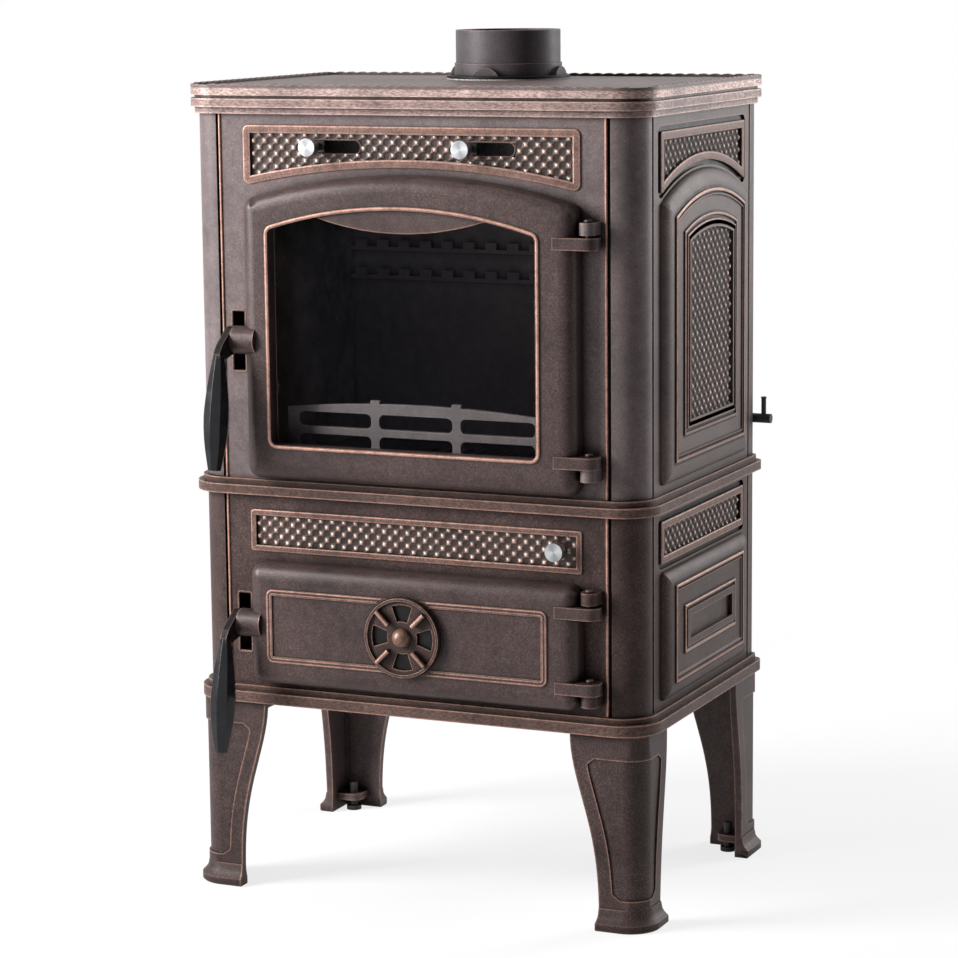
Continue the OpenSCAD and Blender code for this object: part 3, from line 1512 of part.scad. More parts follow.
// The sunk field's edge, open towards the leg's corner
function leg_field(outer, low, high) = concat(
  [for (i = [0 : leg_steps]) let (z = field_z0 + (field_z1 - field_z0) * i / leg_steps,
    d = min(z - field_z0, field_z1 - z, field_r))
    [outer + leg_bulge + field_in - low - (high - low) * leg_taper(z)
      + field_r - sqrt(d * (2 * field_r - d)), z]],
  [[outer + field_in, field_z1], [outer + field_in, field_z0]]);

module corner_block(x, y, r, w, d) {
  difference() {
    translate([x - w, y]) square([w, d]);
    difference() {
      translate([x - r, y - over]) square([r + over, r + over]);
      translate([x - r, y + r]) circle(r, $fn = 96);
    }
  }
}

module leg_plan(o, r) corner_block(half_w + o, front_y - o, r + o, leg_top_w + 20, leg_top_d + 20);

module foot_slice(step, r) {
  o = leg_bulge + foot_out * step[1];
  translate([0, 0, step[0]]) linear_extrude(eps) intersection() {
    leg_plan(o, r);
    translate([half_w + leg_bulge - leg_low_w - 1.5 * step[1], front_y - 2 * leg_low_d])
      square([2 * leg_low_w, 3 * leg_low_d - leg_bulge + 1.5 * step[1]]);
  }
}

// A prism over an outline drawn seen from the front, and one drawn seen from the side
module two_ways(front, side) {
  intersection() {
    forward(front_y + leg_top_d + over, leg_top_d + leg_bulge + 2 * over) polygon(front);
    sideways(half_w - leg_top_w, leg_top_w + leg_bulge + over) polygon([for (p = side) [-p[0], p[1]]]);
  }
}

// The front right leg; the others are its mirror images
module leg(r) {
  difference() {
    union() {
      intersection() {
        linear_extrude(leg_h) leg_plan(leg_bulge, r);
        two_ways(leg_side(half_w, leg_low_w, leg_top_w), leg_side(-front_y, leg_low_d, leg_top_d));
      }
      for (i = [1 : len(foot_steps) - 1]) hull() {
        foot_slice(foot_steps[i - 1], r);
        foot_slice(foot_steps[i], r);
      }
    }
    intersection() {
      linear_extrude(leg_h) difference() {
        leg_plan(leg_bulge + over, r);
        leg_plan(leg_bulge - field_d, r);
      }
      two_ways(leg_field(half_w, leg_low_w, leg_top_w), leg_field(-front_y, leg_low_d, leg_top_d));
    }
    difference() {
      translate([0, 0, -over]) linear_extrude(leg_h - web_t + over)
        corner_block(half_w + leg_bulge - leg_wall - 1, front_y - leg_bulge + leg_wall + 1,
          max(r + leg_bulge - leg_wall - 1, 1), leg_top_w + 10, leg_top_d + 10);
      translate([0, 0, level_z]) linear_extrude(web_t) leg_boss();
    }
    leg_bolt_corner() bar_z(0, 0, leg_h - web_t - over, web_t + 2 * over, leg_bolt_r + screw_gap);
    level_place() bar_z(0, 0, level_z - over, web_t + 2 * over, level_r + screw_gap);
  }
}

level_in = 26; // distance of a levelling screw from a leg's two outer faces
module level_place() {
  translate([half_w + leg_bulge - level_in, front_y - leg_bulge + level_in, 0]) children();
}

// The ear in the leg's corner that holds the levelling screw
module leg_boss() {
  x = half_w + leg_bulge - level_in;
  y = front_y - leg_bulge + level_in;
  r = level_r + 7;
  translate([x, y]) circle(r);
  translate([x, y - level_in]) square([level_in, level_in + r]);
  translate([x - r, y - level_in]) square([level_in + r, level_in]);
}

module leg_bolt_corner() {
  for (p = [[64, 20], [20, 54]])
    translate([half_w + leg_bulge - p[0], front_y - leg_bulge + p[1], 0]) children();
}

module leg_corner(right, front) {
  translate([0, front ? 0 : 2 * mid_y, 0]) mirror([0, front ? 0 : 1, 0])
    mirror([right ? 0 : 1, 0, 0]) children();
}

module front_right_leg() color(iron) leg_corner(true, true) leg(leg_corner_r);
module front_left_leg() color(iron) leg_corner(false, true) leg(leg_corner_r);
module rear_right_leg() color(iron) leg_corner(true, false) leg(rear_corner_r);
module rear_left_leg() color(iron) leg_corner(false, false) leg(rear_corner_r);

module leg_bolt_places() {
  for (right = [true, false], front = [true, false]) leg_corner(right, front) leg_bolt_corner() children();
}

module leg_bolts() {
  color(steel) leg_bolt_places() {
    translate([0, 0, leg_h - web_t - 5]) cylinder(h = 5, r = 7, $fn = 6);
    bar_z(0, 0, leg_h - web_t - eps, web_t + leg_bolt_in, leg_bolt_r);
  }
}

module levelling_screws() {
  color(steel) for (right = [true, false], front = [true, false]) leg_corner(right, front) level_place() {
    bar_z(0, 0, 0, 5, 9);
    bar_z(0, 0, 5 - eps, level_z + web_t + 8, level_r);
  }
}

top_plate();
cornice();
flue_collar();
flue_collar_screws();
flue_gasket();
upper_front_plate();
lower_front_plate();
upper_back_plate();
lower_back_plate();
upper_left_side_plate();
upper_right_side_plate();
lower_left_side_plate();
lower_right_side_plate();
upper_front_posts();
lower_front_posts();
middle_band();
base_frame();
base_plate();
front_left_leg();
front_right_leg();
rear_left_leg();
rear_right_leg();
leg_bolts();
levelling_screws();
tie_rods();
tie_rod_nuts();
hearth_plate();
grate();
left_liner();
right_liner();
back_liner();
baffle_plate();
log_guard();
ash_pan();
ash_pan_runners();
airwash_duct();
shutter_rails();
latch_pockets();
latch_pocket_screws();
hinge_pins();
fire_door();
window_gasket();
window_glass();
glass_clips();
glass_clip_screws();
fire_door_rope_seal();
fire_door_latch_pin();
fire_door_latch();
fire_door_grip();
ash_door();
ash_door_rope_seal();
ash_door_latch_pin();
ash_door_latch();
ash_door_grip();
spin_valve();
spin_valve_bolt();
left_air_slide();
right_air_slide();
riddling_grate();
rear_air_flap();
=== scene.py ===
"""Looks of the cast iron stove: patina, lattice panels, mouldings, glass, studio and camera."""
import json
import math
import bmesh
import bpy
from mathutils import Matrix, Vector


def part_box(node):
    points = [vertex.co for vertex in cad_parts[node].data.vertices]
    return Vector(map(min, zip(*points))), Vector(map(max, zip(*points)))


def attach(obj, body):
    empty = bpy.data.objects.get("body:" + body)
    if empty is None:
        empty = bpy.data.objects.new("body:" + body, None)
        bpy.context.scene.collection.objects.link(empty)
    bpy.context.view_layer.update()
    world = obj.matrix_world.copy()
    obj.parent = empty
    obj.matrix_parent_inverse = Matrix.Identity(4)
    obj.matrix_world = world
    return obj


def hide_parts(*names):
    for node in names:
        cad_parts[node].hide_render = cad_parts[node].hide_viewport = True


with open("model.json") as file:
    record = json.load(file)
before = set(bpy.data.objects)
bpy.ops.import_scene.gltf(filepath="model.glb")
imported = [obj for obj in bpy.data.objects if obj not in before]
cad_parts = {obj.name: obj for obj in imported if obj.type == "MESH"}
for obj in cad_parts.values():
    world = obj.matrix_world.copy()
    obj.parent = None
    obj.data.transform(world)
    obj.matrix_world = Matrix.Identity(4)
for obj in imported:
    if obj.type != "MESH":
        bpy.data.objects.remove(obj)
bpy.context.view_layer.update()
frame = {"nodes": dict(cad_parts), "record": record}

NODES = frame["nodes"]
MM = 0.001

# Places and sizes in millimetres, measured from the plates' faces
BAND_OUT = 10.7  # how far the middle band stands out from the plates
POST_R = 33  # radius of the front corner posts
REAR_RETURN = 15  # length of the back plates' returns along the sides
band_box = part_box("middle_band")
FRONT = band_box[0][1] / MM + BAND_OUT
REAR = band_box[1][1] / MM - BAND_OUT
MID = (FRONT + REAR) / 2
HALF_W = 265.0
SIDE_MID = (FRONT + POST_R + REAR - REAR_RETURN) / 2
LOWER_Z, BAND_Z, UPPER_Z, CORNICE_Z, HOB_Z = 234.0, 451.0, 468.0, 869.0, 898.0
DOOR_FACE = FRONT - 26.0
DOOR_SHIFT = 4.5  # of the doors' middle to the right
DOOR_HALF_W, DOOR_CORNER = 195.5, 14
LATCH_X, LATCH_Z = -208, (624.0, 308.5)  # fire door, ash door
VALVE_Z, VALVE_SEAT_R = 308.75, 45.6
AIR_Z, AIR_KNOB_X = CORNICE_Z - 34.5, (-111.0, 69.0)
RIDDLE_X, RIDDLE_Z = 173.0, 412.25
LATTICE_PITCH, LATTICE_STEP = 14.0, 1.15


# ---------- outlines ----------

def arc(cx, cy, r, a0, a1, n):
    """n + 1 points of an arc, its angles in degrees."""
    out = []
    for i in range(n + 1):
        a = math.radians(a0 + (a1 - a0) * i / n)
        out.append((cx + r * math.cos(a), cy + r * math.sin(a)))
    return out


def arch_radius(w, rise):
    """Radius of an arch of half width w."""
    return (w * w + rise * rise) / (2 * rise)


def arched(w, z0, z1, rise, corner, inset=0.0, steps=10):
    """A panel with an arched top and rounded corners."""
    big = arch_radius(w, rise)
    zc = z1 - big
    r = max(corner - inset, 0.4)
    x = w - inset - r
    zt = zc + math.sqrt((big - inset - r) ** 2 - x * x)
    a = math.degrees(math.atan2(zt - zc, x))
    return (arc(-x, z0 + inset + r, r, 180, 270, steps) + arc(x, z0 + inset + r, r, 270, 360, steps)
            + arc(x, zt, r, 0, a, steps) + arc(0, zc, big - inset, a, 180 - a, 40)
            + arc(-x, zt, r, 180 - a, 180, steps))


def rounded(w, z0, z1, corner, inset=0.0, steps=8):
    """A rectangle with rounded corners."""
    r = max(corner - inset, 0.4)
    x = w - inset - r
    return (arc(-x, z0 + inset + r, r, 180, 270, steps) + arc(x, z0 + inset + r, r, 270, 360, steps)
            + arc(x, z1 - inset - r, r, 0, 90, steps) + arc(-x, z1 - inset - r, r, 90, 180, steps))


def vaulted(w, z0, z1, rise, corner, inset=0.0):
    """A panel with a level top, a lower edge that rises in the middle and rounded corners."""
    base = arch_radius(w, rise)
    big = base + inset
    zc = z0 + rise - base
    r = max(corner - inset, 0.6)
    x = w - inset - r
    zf = zc + math.sqrt((big + r) ** 2 - x * x)
    a = math.degrees(math.atan2(zf - zc, x))
    return (arc(x, z1 - inset - r, r, 0, 90, 6) + arc(-x, z1 - inset - r, r, 90, 180, 6)
            + arc(-x, zf, r, 180, 360 - a, 6) + arc(0, zc, big, 180 - a, a, 48) + arc(x, zf, r, 180 + a, 360, 6))


def vault_edge(w, z0, rise, inset):
    """Height of a vaulted panel's lower edge, as a function of the place along it."""
    big = arch_radius(w, rise)
    zc = z0 + rise - big
    return lambda u: zc + math.sqrt((big + inset) ** 2 - u * u)


def arch_edge(w, z1, rise, inset):
    """Height of an arched panel's top, as a function of the place along it."""
    big = arch_radius(w, rise)
    zc = z1 - big
    return lambda u: zc + math.sqrt((big - inset) ** 2 - u * u)


# ---------- places: (a, b, h) in millimetres to a point; h stands out from the surface ----------

def on_front(y):
    return lambda a, b, h: (a, y - h, b)


def on_side(side, x=HALF_W):
    return lambda a, b, h: (side * (x + h), SIDE_MID + a, b)


def on_door(a, b, h):
    return (a + DOOR_SHIFT, DOOR_FACE - h, b)


OUT_FRONT = Vector((0, -1, 0))


def out_side(side):
    return Vector((side, 0, 0))


# ---------- mesh helpers ----------

def make(name, verts, faces, body, mat, out=None, rub_and_shade=None, angle=40):
    """A mesh piece from millimetres, facing out, riding on a body."""
    me = bpy.data.meshes.new(name)
    me.from_pydata([tuple(c * MM for c in v) for v in verts], [], faces)
    me.update()
    if out is not None:
        total = sum((p.normal * p.area for p in me.polygons), Vector())
        if total.dot(out) < 0:
            me.flip_normals()
    for p in me.polygons:
        p.use_smooth = True
    me.set_sharp_from_angle(angle=math.radians(angle))
    if rub_and_shade is not None:
        at = me.attributes.new("rub_and_shade", "FLOAT", "POINT")
        at.data.foreach_set("value", rub_and_shade)
    ob = bpy.data.objects.new(name, me)
    bpy.context.scene.collection.objects.link(ob)
    me.materials.append(mat)
    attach(ob, body)
    return ob


def ring_faces(rows, n):
    """Quads between rows of n points each, every row closed on itself."""
    return [(k * n + i, k * n + (i + 1) % n, (k + 1) * n + (i + 1) % n, (k + 1) * n + i)
            for k in range(rows - 1) for i in range(n)]


def bands(name, outline, stations, place, body, mat, out, angle=50):
    """Rings of an outline at (inset, height, rub) stations, joined."""
    verts, rub_and_shade = [], []
    for inset, h, r in stations:
        ring = outline(inset)
        verts += [place(a, b, h) for a, b in ring]
        rub_and_shade += [r] * len(ring)
    return make(name, verts, ring_faces(len(stations), len(ring)), body, mat, out, rub_and_shade, angle)


def bead(name, path, r, body, rub_and_shade, up=(0, -1, 0), sides=16):
    """A round bead along points in millimetres, rubbed on the side that faces up."""
    pts = [Vector(p) for p in path]
    up = Vector(up)
    verts = []
    for i, p in enumerate(pts):
        t = (pts[min(i + 1, len(pts) - 1)] - pts[max(i - 1, 0)]).normalized()
        s = t.cross(up).normalized()
        u = s.cross(t).normalized()
        for k in range(sides):
            w = 2 * math.pi * k / sides
            verts.append(tuple(p + s * (r * math.cos(w)) + u * (r * math.sin(w))))
    faces = ring_faces(len(pts), sides)
    faces.append(tuple(range(sides)))
    faces.append(tuple((len(pts) - 1) * sides + k for k in range(sides)))
    crown = [rub_and_shade * max(0.0, math.sin(2 * math.pi * (k % sides) / sides)) ** 1.5 for k in range(len(verts))]
    return make(name, verts, faces, body, MAT["trim"], None, crown, 60)


def stud_height(u, v):
    """Height of the lattice's relief: low pyramids joined by fine ridges along both diagonals."""
    a = (u + v) / LATTICE_PITCH
    b = (u - v) / LATTICE_PITCH
    da = (a - round(a)) * LATTICE_PITCH / math.sqrt(2)
    db = (b - round(b)) * LATTICE_PITCH / math.sqrt(2)
    ridge = 0.42 * max(math.exp(-(da / 1.1) ** 2), math.exp(-(db / 1.1) ** 2))
    near = max(0.0, 1.0 - math.hypot(da, db) / 4.0)
    return 1.0 + ridge + 1.8 * near ** 1.1


def lattice(name, place, half_w, low, high, out, anchor, floor=-3.0, hole=None, flat=None, look="lattice"):
    """A relief grid whose columns run from low(u) to high(u), with a stud at the anchor."""
    u0, u1 = -half_w, half_w
    nu = max(2, int(round((u1 - u0) / LATTICE_STEP)))
    tall = max(high(u0 + (u1 - u0) * i / nu) - low(u0 + (u1 - u0) * i / nu) for i in range(nu + 1))
    nv = max(2, int(round(tall / LATTICE_STEP)))
    verts, rub_and_shade, keep = [], [], []
    for i in range(nu + 1):
        u = u0 + (u1 - u0) * i / nu
        a, b = low(u), high(u)
        for j in range(nv + 1):
            v = a + (b - a) * j / nv
            h = stud_height(u - anchor[0], v - anchor[1])
            if flat is not None and flat(u, v):
                h = 1.2
            verts.append(place(u, v, floor + h))
            rub_and_shade.append(max(0.0, min(1.0, (h - 1.35) / 1.5)) ** 1.4)
            keep.append(hole is None or not hole(u, v))
    faces = []
    for i in range(nu):
        for j in range(nv):
            k = i * (nv + 1) + j
            quad = (k, k + 1, k + nv + 2, k + nv + 1)
            if all(keep[q] for q in quad):
                faces.append(quad)
    return make(name, verts, faces, "stove", MAT[look], out, rub_and_shade, 180)


# ---------- materials ----------

def new_material(name):
    mat = bpy.data.materials.new(name)
    mat.use_nodes = True
    return mat, mat.node_tree, mat.node_tree.nodes["Principled BSDF"]


def node(nt, kind, **values):
    """A new shader node with its properties set."""
    n = nt.nodes.new(kind)
    for k, v in values.items():
        setattr(n, k, v)
    return n


def put(nt, socket, value):
    """Links an output to a socket, or sets the socket's own value."""
    if hasattr(value, "is_output"):
        nt.links.new(value, socket)
    else:
        socket.default_value = value


def object_place(nt):
    return node(nt, "ShaderNodeTexCoord").outputs["Object"]


def noise(nt, vec, scale, detail=3.0, rough=0.55):
    n = node(nt, "ShaderNodeTexNoise")
    put(nt, n.inputs["Vector"], vec)
    n.inputs["Scale"].default_value = scale
    n.inputs["Detail"].default_value = detail
    n.inputs["Roughness"].default_value = rough
    return n.outputs["Fac"]


def calc(nt, op, a, b=0.0, clamp=False):
    n = node(nt, "ShaderNodeMath", operation=op, use_clamp=clamp)
    put(nt, n.inputs[0], a)
    put(nt, n.inputs[1], b)
    return n.outputs[0]


def spread(nt, value, a, b, c=0.0, d=1.0):
    """Maps a..b to c..d, clamped."""
    n = node(nt, "ShaderNodeMapRange")
    put(nt, n.inputs["Value"], value)
    for key, v in (("From Min", a), ("From Max", b), ("To Min", c), ("To Max", d)):
        n.inputs[key].default_value = v
    return n.outputs["Result"]


def blend(nt, fac, a, b):
    n = node(nt, "ShaderNodeMix", data_type="RGBA")
    put(nt, n.inputs["Factor"], fac)
    put(nt, n.inputs[6], a)
    put(nt, n.inputs[7], b)
    return n.outputs[2]


def bump(nt, p, height, strength, distance):
    n = node(nt, "ShaderNodeBump")
    n.inputs["Strength"].default_value = strength
    n.inputs["Distance"].default_value = distance
    put(nt, n.inputs["Height"], height)
    put(nt, p.inputs["Normal"], n.outputs["Normal"])


def rgb(r, g, b):
    return (r, g, b, 1.0)


def radius_y(nt, dx, dz):
    """Distance from an axis along Y."""
    return calc(nt, "SQRT", calc(nt, "ADD", calc(nt, "MULTIPLY", dx, dx), calc(nt, "MULTIPLY", dz, dz)))


def sunk(nt, co, places):
    """1 where all places hold: (axis, from, to) passes from 0 to 1 along X, Y, Z or abs X, in millimetres;
    ("disc", z, r) is 1 within r of an axis along Y."""
    sep = node(nt, "ShaderNodeSeparateXYZ")
    put(nt, sep.inputs[0], co)
    out = None
    for kind, a, b in places:
        if kind == "disc":
            r = radius_y(nt, sep.outputs["X"], calc(nt, "SUBTRACT", sep.outputs["Z"], a * MM))
            one = spread(nt, r, (b + 0.2) * MM, (b - 0.2) * MM)
        else:
            v = sep.outputs[kind[-1]]
            if kind.startswith("abs"):
                v = calc(nt, "ABSOLUTE", v)
            one = spread(nt, v, a * MM, b * MM)
        out = one if out is None else calc(nt, "MULTIPLY", out, one)
    return out


def iron(name, dark, light, copper=None, edge=1.0, speck=0.2, rough=0.44, metal=0.08, use_edges=True,
         shaded_recess=None, reach=1.8, shine=0.13, streak=None, rubbed=None):
    """Bronze-brown casting, rubbed to copper on its edges, with painted shade in its corners.

    edge and reach (mm) set how much of the convex edges is bare, speck the bare grain on the faces, streak
    stretches that grain, rubbed and recess are places for sunk(): more bare grain in the first, painted shade in
    the second; a mesh's own attribute, set in make(), is copper where it is above 0 and a dark line of painted
    shade where it is below."""
    mat, nt, p = new_material(name)
    co = object_place(nt)
    big = noise(nt, co, 9.0, 4.0)
    mid = noise(nt, co, 90.0, 5.0, 0.6)
    fine = noise(nt, co, 620.0, 3.0, 0.6)
    grit = noise(nt, co, 1500.0, 2.0, 0.6)
    tone = calc(nt, "ADD", calc(nt, "MULTIPLY", big, 0.4), calc(nt, "MULTIPLY", mid, 0.3))
    tone = calc(nt, "ADD", tone, calc(nt, "MULTIPLY", fine, 0.3))
    base = blend(nt, spread(nt, tone, 0.38, 0.62), dark, light)
    wear_and_shade_lines = node(nt, "ShaderNodeAttribute", attribute_name="rub_and_shade").outputs["Fac"]
    patchy = calc(nt, "MULTIPLY", spread(nt, mid, 0.3, 0.65, 0.55, 1.1), spread(nt, fine, 0.35, 0.6, 0.7, 1.1))
    wear = calc(nt, "MULTIPLY", calc(nt, "MAXIMUM", wear_and_shade_lines, 0.0), patchy)
    if use_edges:
        ao = node(nt, "ShaderNodeAmbientOcclusion", inside=True, only_local=True, samples=5)
        ao.inputs["Distance"].default_value = reach * MM
        convex = spread(nt, ao.outputs["AO"], 0.88, 0.5)
        edges = calc(nt, "MULTIPLY", convex, calc(nt, "MULTIPLY", patchy, edge))
        wear = calc(nt, "ADD", wear, edges)
    if streak:
        stretch = node(nt, "ShaderNodeVectorMath", operation="MULTIPLY")
        put(nt, stretch.inputs[0], co)
        stretch.inputs[1].default_value = streak
        fine = noise(nt, stretch.outputs[0], 950.0, 3.0, 0.55)
    grain = spread(nt, fine, 0.38, 0.88) if streak else spread(nt, fine, 0.46, 0.7)
    dots = calc(nt, "MULTIPLY", grain, speck)
    if rubbed:
        dots = calc(nt, "ADD", dots, calc(nt, "MULTIPLY", calc(nt, "ADD", grain, 0.2), sunk(nt, co, rubbed)))
    wear = calc(nt, "ADD", wear, calc(nt, "MULTIPLY", dots, spread(nt, big, 0.35, 0.6, 0.4, 1.2)), True)
    colour = blend(nt, wear, base, copper or COPPER)
    # Painted shade: the colour darkens in corners and creases found by ambient occlusion, on the dark lines where
    # the mesh's attribute is below 0, and in the recess places
    painted_shade_ao = node(nt, "ShaderNodeAmbientOcclusion", samples=5)
    painted_shade_ao.inputs["Distance"].default_value = 0.012
    shade = spread(nt, painted_shade_ao.outputs["AO"], 0.3, 0.9, 0.1, 1.0)
    shade = calc(nt, "MULTIPLY", shade, spread(nt, wear_and_shade_lines, -1.0, -0.3, 0.1, 1.0))
    if shaded_recess:
        sunk_painted_shade = sunk(nt, co, shaded_recess)
        shade = calc(nt, "MULTIPLY", shade, spread(nt, sunk_painted_shade, 0.0, 1.0, 1.0, 0.1))
    colour_with_painted_shade = node(nt, "ShaderNodeVectorMath", operation="SCALE")
    put(nt, colour_with_painted_shade.inputs[0], colour)
    put(nt, colour_with_painted_shade.inputs["Scale"], shade)
    put(nt, p.inputs["Base Color"], colour_with_painted_shade.outputs[0])
    put(nt, p.inputs["Metallic"], spread(nt, wear, 0.0, 1.0, metal, 0.45))
    put(nt, p.inputs["Roughness"], calc(nt, "ADD", spread(nt, mid, 0.3, 0.7, rough - 0.05, rough + 0.07),
                                        calc(nt, "MULTIPLY", wear, -0.06)))
    height = calc(nt, "ADD", calc(nt, "MULTIPLY", fine, 0.7), calc(nt, "MULTIPLY", grit, 0.5))
    bump(nt, p, height, 0.4, 0.0004)
    p.inputs["Specular IOR Level"].default_value = shine
    return mat


def plain_metal(name, colour, other, rough, metal=1.0, scale=240.0, shine=0.5):
    mat, nt, p = new_material(name)
    p.inputs["Specular IOR Level"].default_value = shine
    co = object_place(nt)
    n = noise(nt, co, scale, 4.0, 0.6)
    f = noise(nt, co, scale * 5, 2.0, 0.6)
    put(nt, p.inputs["Base Color"], blend(nt, spread(nt, n, 0.35, 0.65), colour, other))
    put(nt, p.inputs["Roughness"], spread(nt, n, 0.3, 0.7, rough - 0.05, rough + 0.08))
    p.inputs["Metallic"].default_value = metal
    bump(nt, p, f, 0.2, 0.0001)
    return mat


def turned_metal(name, x, z):
    """A turned knob with fine rings round an axis along Y and a painted highlight, a fan of bright wedges round
    that axis; the parts behind the plate are dark.
    """
    mat, nt, p = new_material(name)
    co = object_place(nt)
    sep = node(nt, "ShaderNodeSeparateXYZ")
    put(nt, sep.inputs[0], co)
    dx = calc(nt, "SUBTRACT", sep.outputs["X"], x * MM)
    dz = calc(nt, "SUBTRACT", sep.outputs["Z"], z * MM)
    r = radius_y(nt, dx, dz)
    ang = calc(nt, "ARCTAN2", dz, dx)
    rings = calc(nt, "SINE", calc(nt, "MULTIPLY", r, 11000.0))
    # Painted highlight: bright and dark wedges round the axis, in the base colour
    painted_fan_glint = calc(nt, "SINE", calc(nt, "ADD", calc(nt, "MULTIPLY", ang, 2.0), 0.9))
    tone = calc(nt, "ADD", calc(nt, "MULTIPLY", painted_fan_glint, 0.35), 0.5)
    grain = noise(nt, co, 700.0, 2.0)
    tone = calc(nt, "ADD", tone, calc(nt, "MULTIPLY", calc(nt, "SUBTRACT", grain, 0.5), 0.3), True)
    grain_and_painted_glint = blend(nt, tone, rgb(0.20, 0.205, 0.21), rgb(0.52, 0.53, 0.54))
    behind = spread(nt, sep.outputs["Y"], (FRONT - 8.6) * MM, (FRONT - 8.2) * MM)
    put(nt, p.inputs["Base Color"], blend(nt, behind, grain_and_painted_glint, rgb(0.02, 0.018, 0.018)))
    put(nt, p.inputs["Metallic"], spread(nt, behind, 0.0, 1.0, 1.0, 0.2))
    put(nt, p.inputs["Roughness"], spread(nt, grain, 0.3, 0.7, 0.3, 0.42))
    bump(nt, p, calc(nt, "ADD", rings, grain), 0.12, 0.00005)
    return mat


def glass_material():
    mat, nt, p = new_material("window_glass")
    co = object_place(nt)
    film = noise(nt, co, 12.0, 4.0)
    put(nt, p.inputs["Base Color"], blend(nt, film, rgb(0.006, 0.006, 0.009), rgb(0.012, 0.011, 0.014)))
    put(nt, p.inputs["Roughness"], spread(nt, film, 0.3, 0.7, 0.03, 0.07))
    p.inputs["IOR"].default_value = 1.5
    p.inputs["Specular IOR Level"].default_value = 0.05
    put(nt, p.inputs["Alpha"], spread(nt, film, 0.3, 0.7, 0.1, 0.16))
    return mat


def rope_material():
    mat, nt, p = new_material("rope")
    co = object_place(nt)
    w = node(nt, "ShaderNodeTexWave", wave_type="BANDS", bands_direction="DIAGONAL")
    put(nt, w.inputs["Vector"], co)
    w.inputs["Scale"].default_value = 150.0
    w.inputs["Distortion"].default_value = 2.0
    n = noise(nt, co, 500.0, 3.0)
    tone = calc(nt, "MULTIPLY", w.outputs["Fac"], n)
    put(nt, p.inputs["Base Color"], blend(nt, tone, rgb(0.22, 0.2, 0.18), rgb(0.62, 0.6, 0.55)))
    p.inputs["Roughness"].default_value = 0.95
    bump(nt, p, w.outputs["Fac"], 0.6, 0.0006)
    return mat


def brick_material():
    mat, nt, p = new_material("sooted_firebrick")
    co = object_place(nt)
    soot = noise(nt, co, 7.0, 5.0, 0.65)
    grain = noise(nt, co, 300.0, 4.0, 0.7)
    clay = blend(nt, grain, rgb(0.16, 0.13, 0.11), rgb(0.3, 0.26, 0.22))
    put(nt, p.inputs["Base Color"], blend(nt, spread(nt, soot, 0.35, 0.6), rgb(0.03, 0.028, 0.027), clay))
    p.inputs["Roughness"].default_value = 0.95
    bump(nt, p, grain, 0.5, 0.0008)
    return mat


# Dark and light tone of each group of castings, and the bare metal on its edges; the side plates are a little
# darker than the upper front plates, and the doors, the lower plates and the legs far darker
PLATE = (rgb(0.08, 0.062, 0.063), rgb(0.15, 0.122, 0.123))
SIDE = (rgb(0.062, 0.047, 0.046), rgb(0.118, 0.091, 0.089))
DOOR = (rgb(0.0245, 0.0155, 0.015), rgb(0.055, 0.0365, 0.0355))
LOW = (rgb(0.023, 0.0142, 0.0133), rgb(0.056, 0.0365, 0.0345))
LEG = (rgb(0.021, 0.0142, 0.0136), rgb(0.05, 0.0355, 0.0345))
COPPER = rgb(0.42, 0.235, 0.18)
PINK = rgb(0.52, 0.365, 0.325)
# Places painted in shade by the recess lists: all that lies behind the front face, all that lies within the side
# faces, and the grooves inside the posts' edges
SHADE_BEHIND_FRONT = ("Y", FRONT + 0.3, FRONT + 0.8)
SHADE_BEHIND_SIDE = ("abs X", HALF_W - 0.4, HALF_W - 1.0)
SHADE_POST_GROOVE = ("abs X", 232.5, 231.5)
GRAIN = (0.22, 0.22, 0.7)  # stretches the grain along the bands
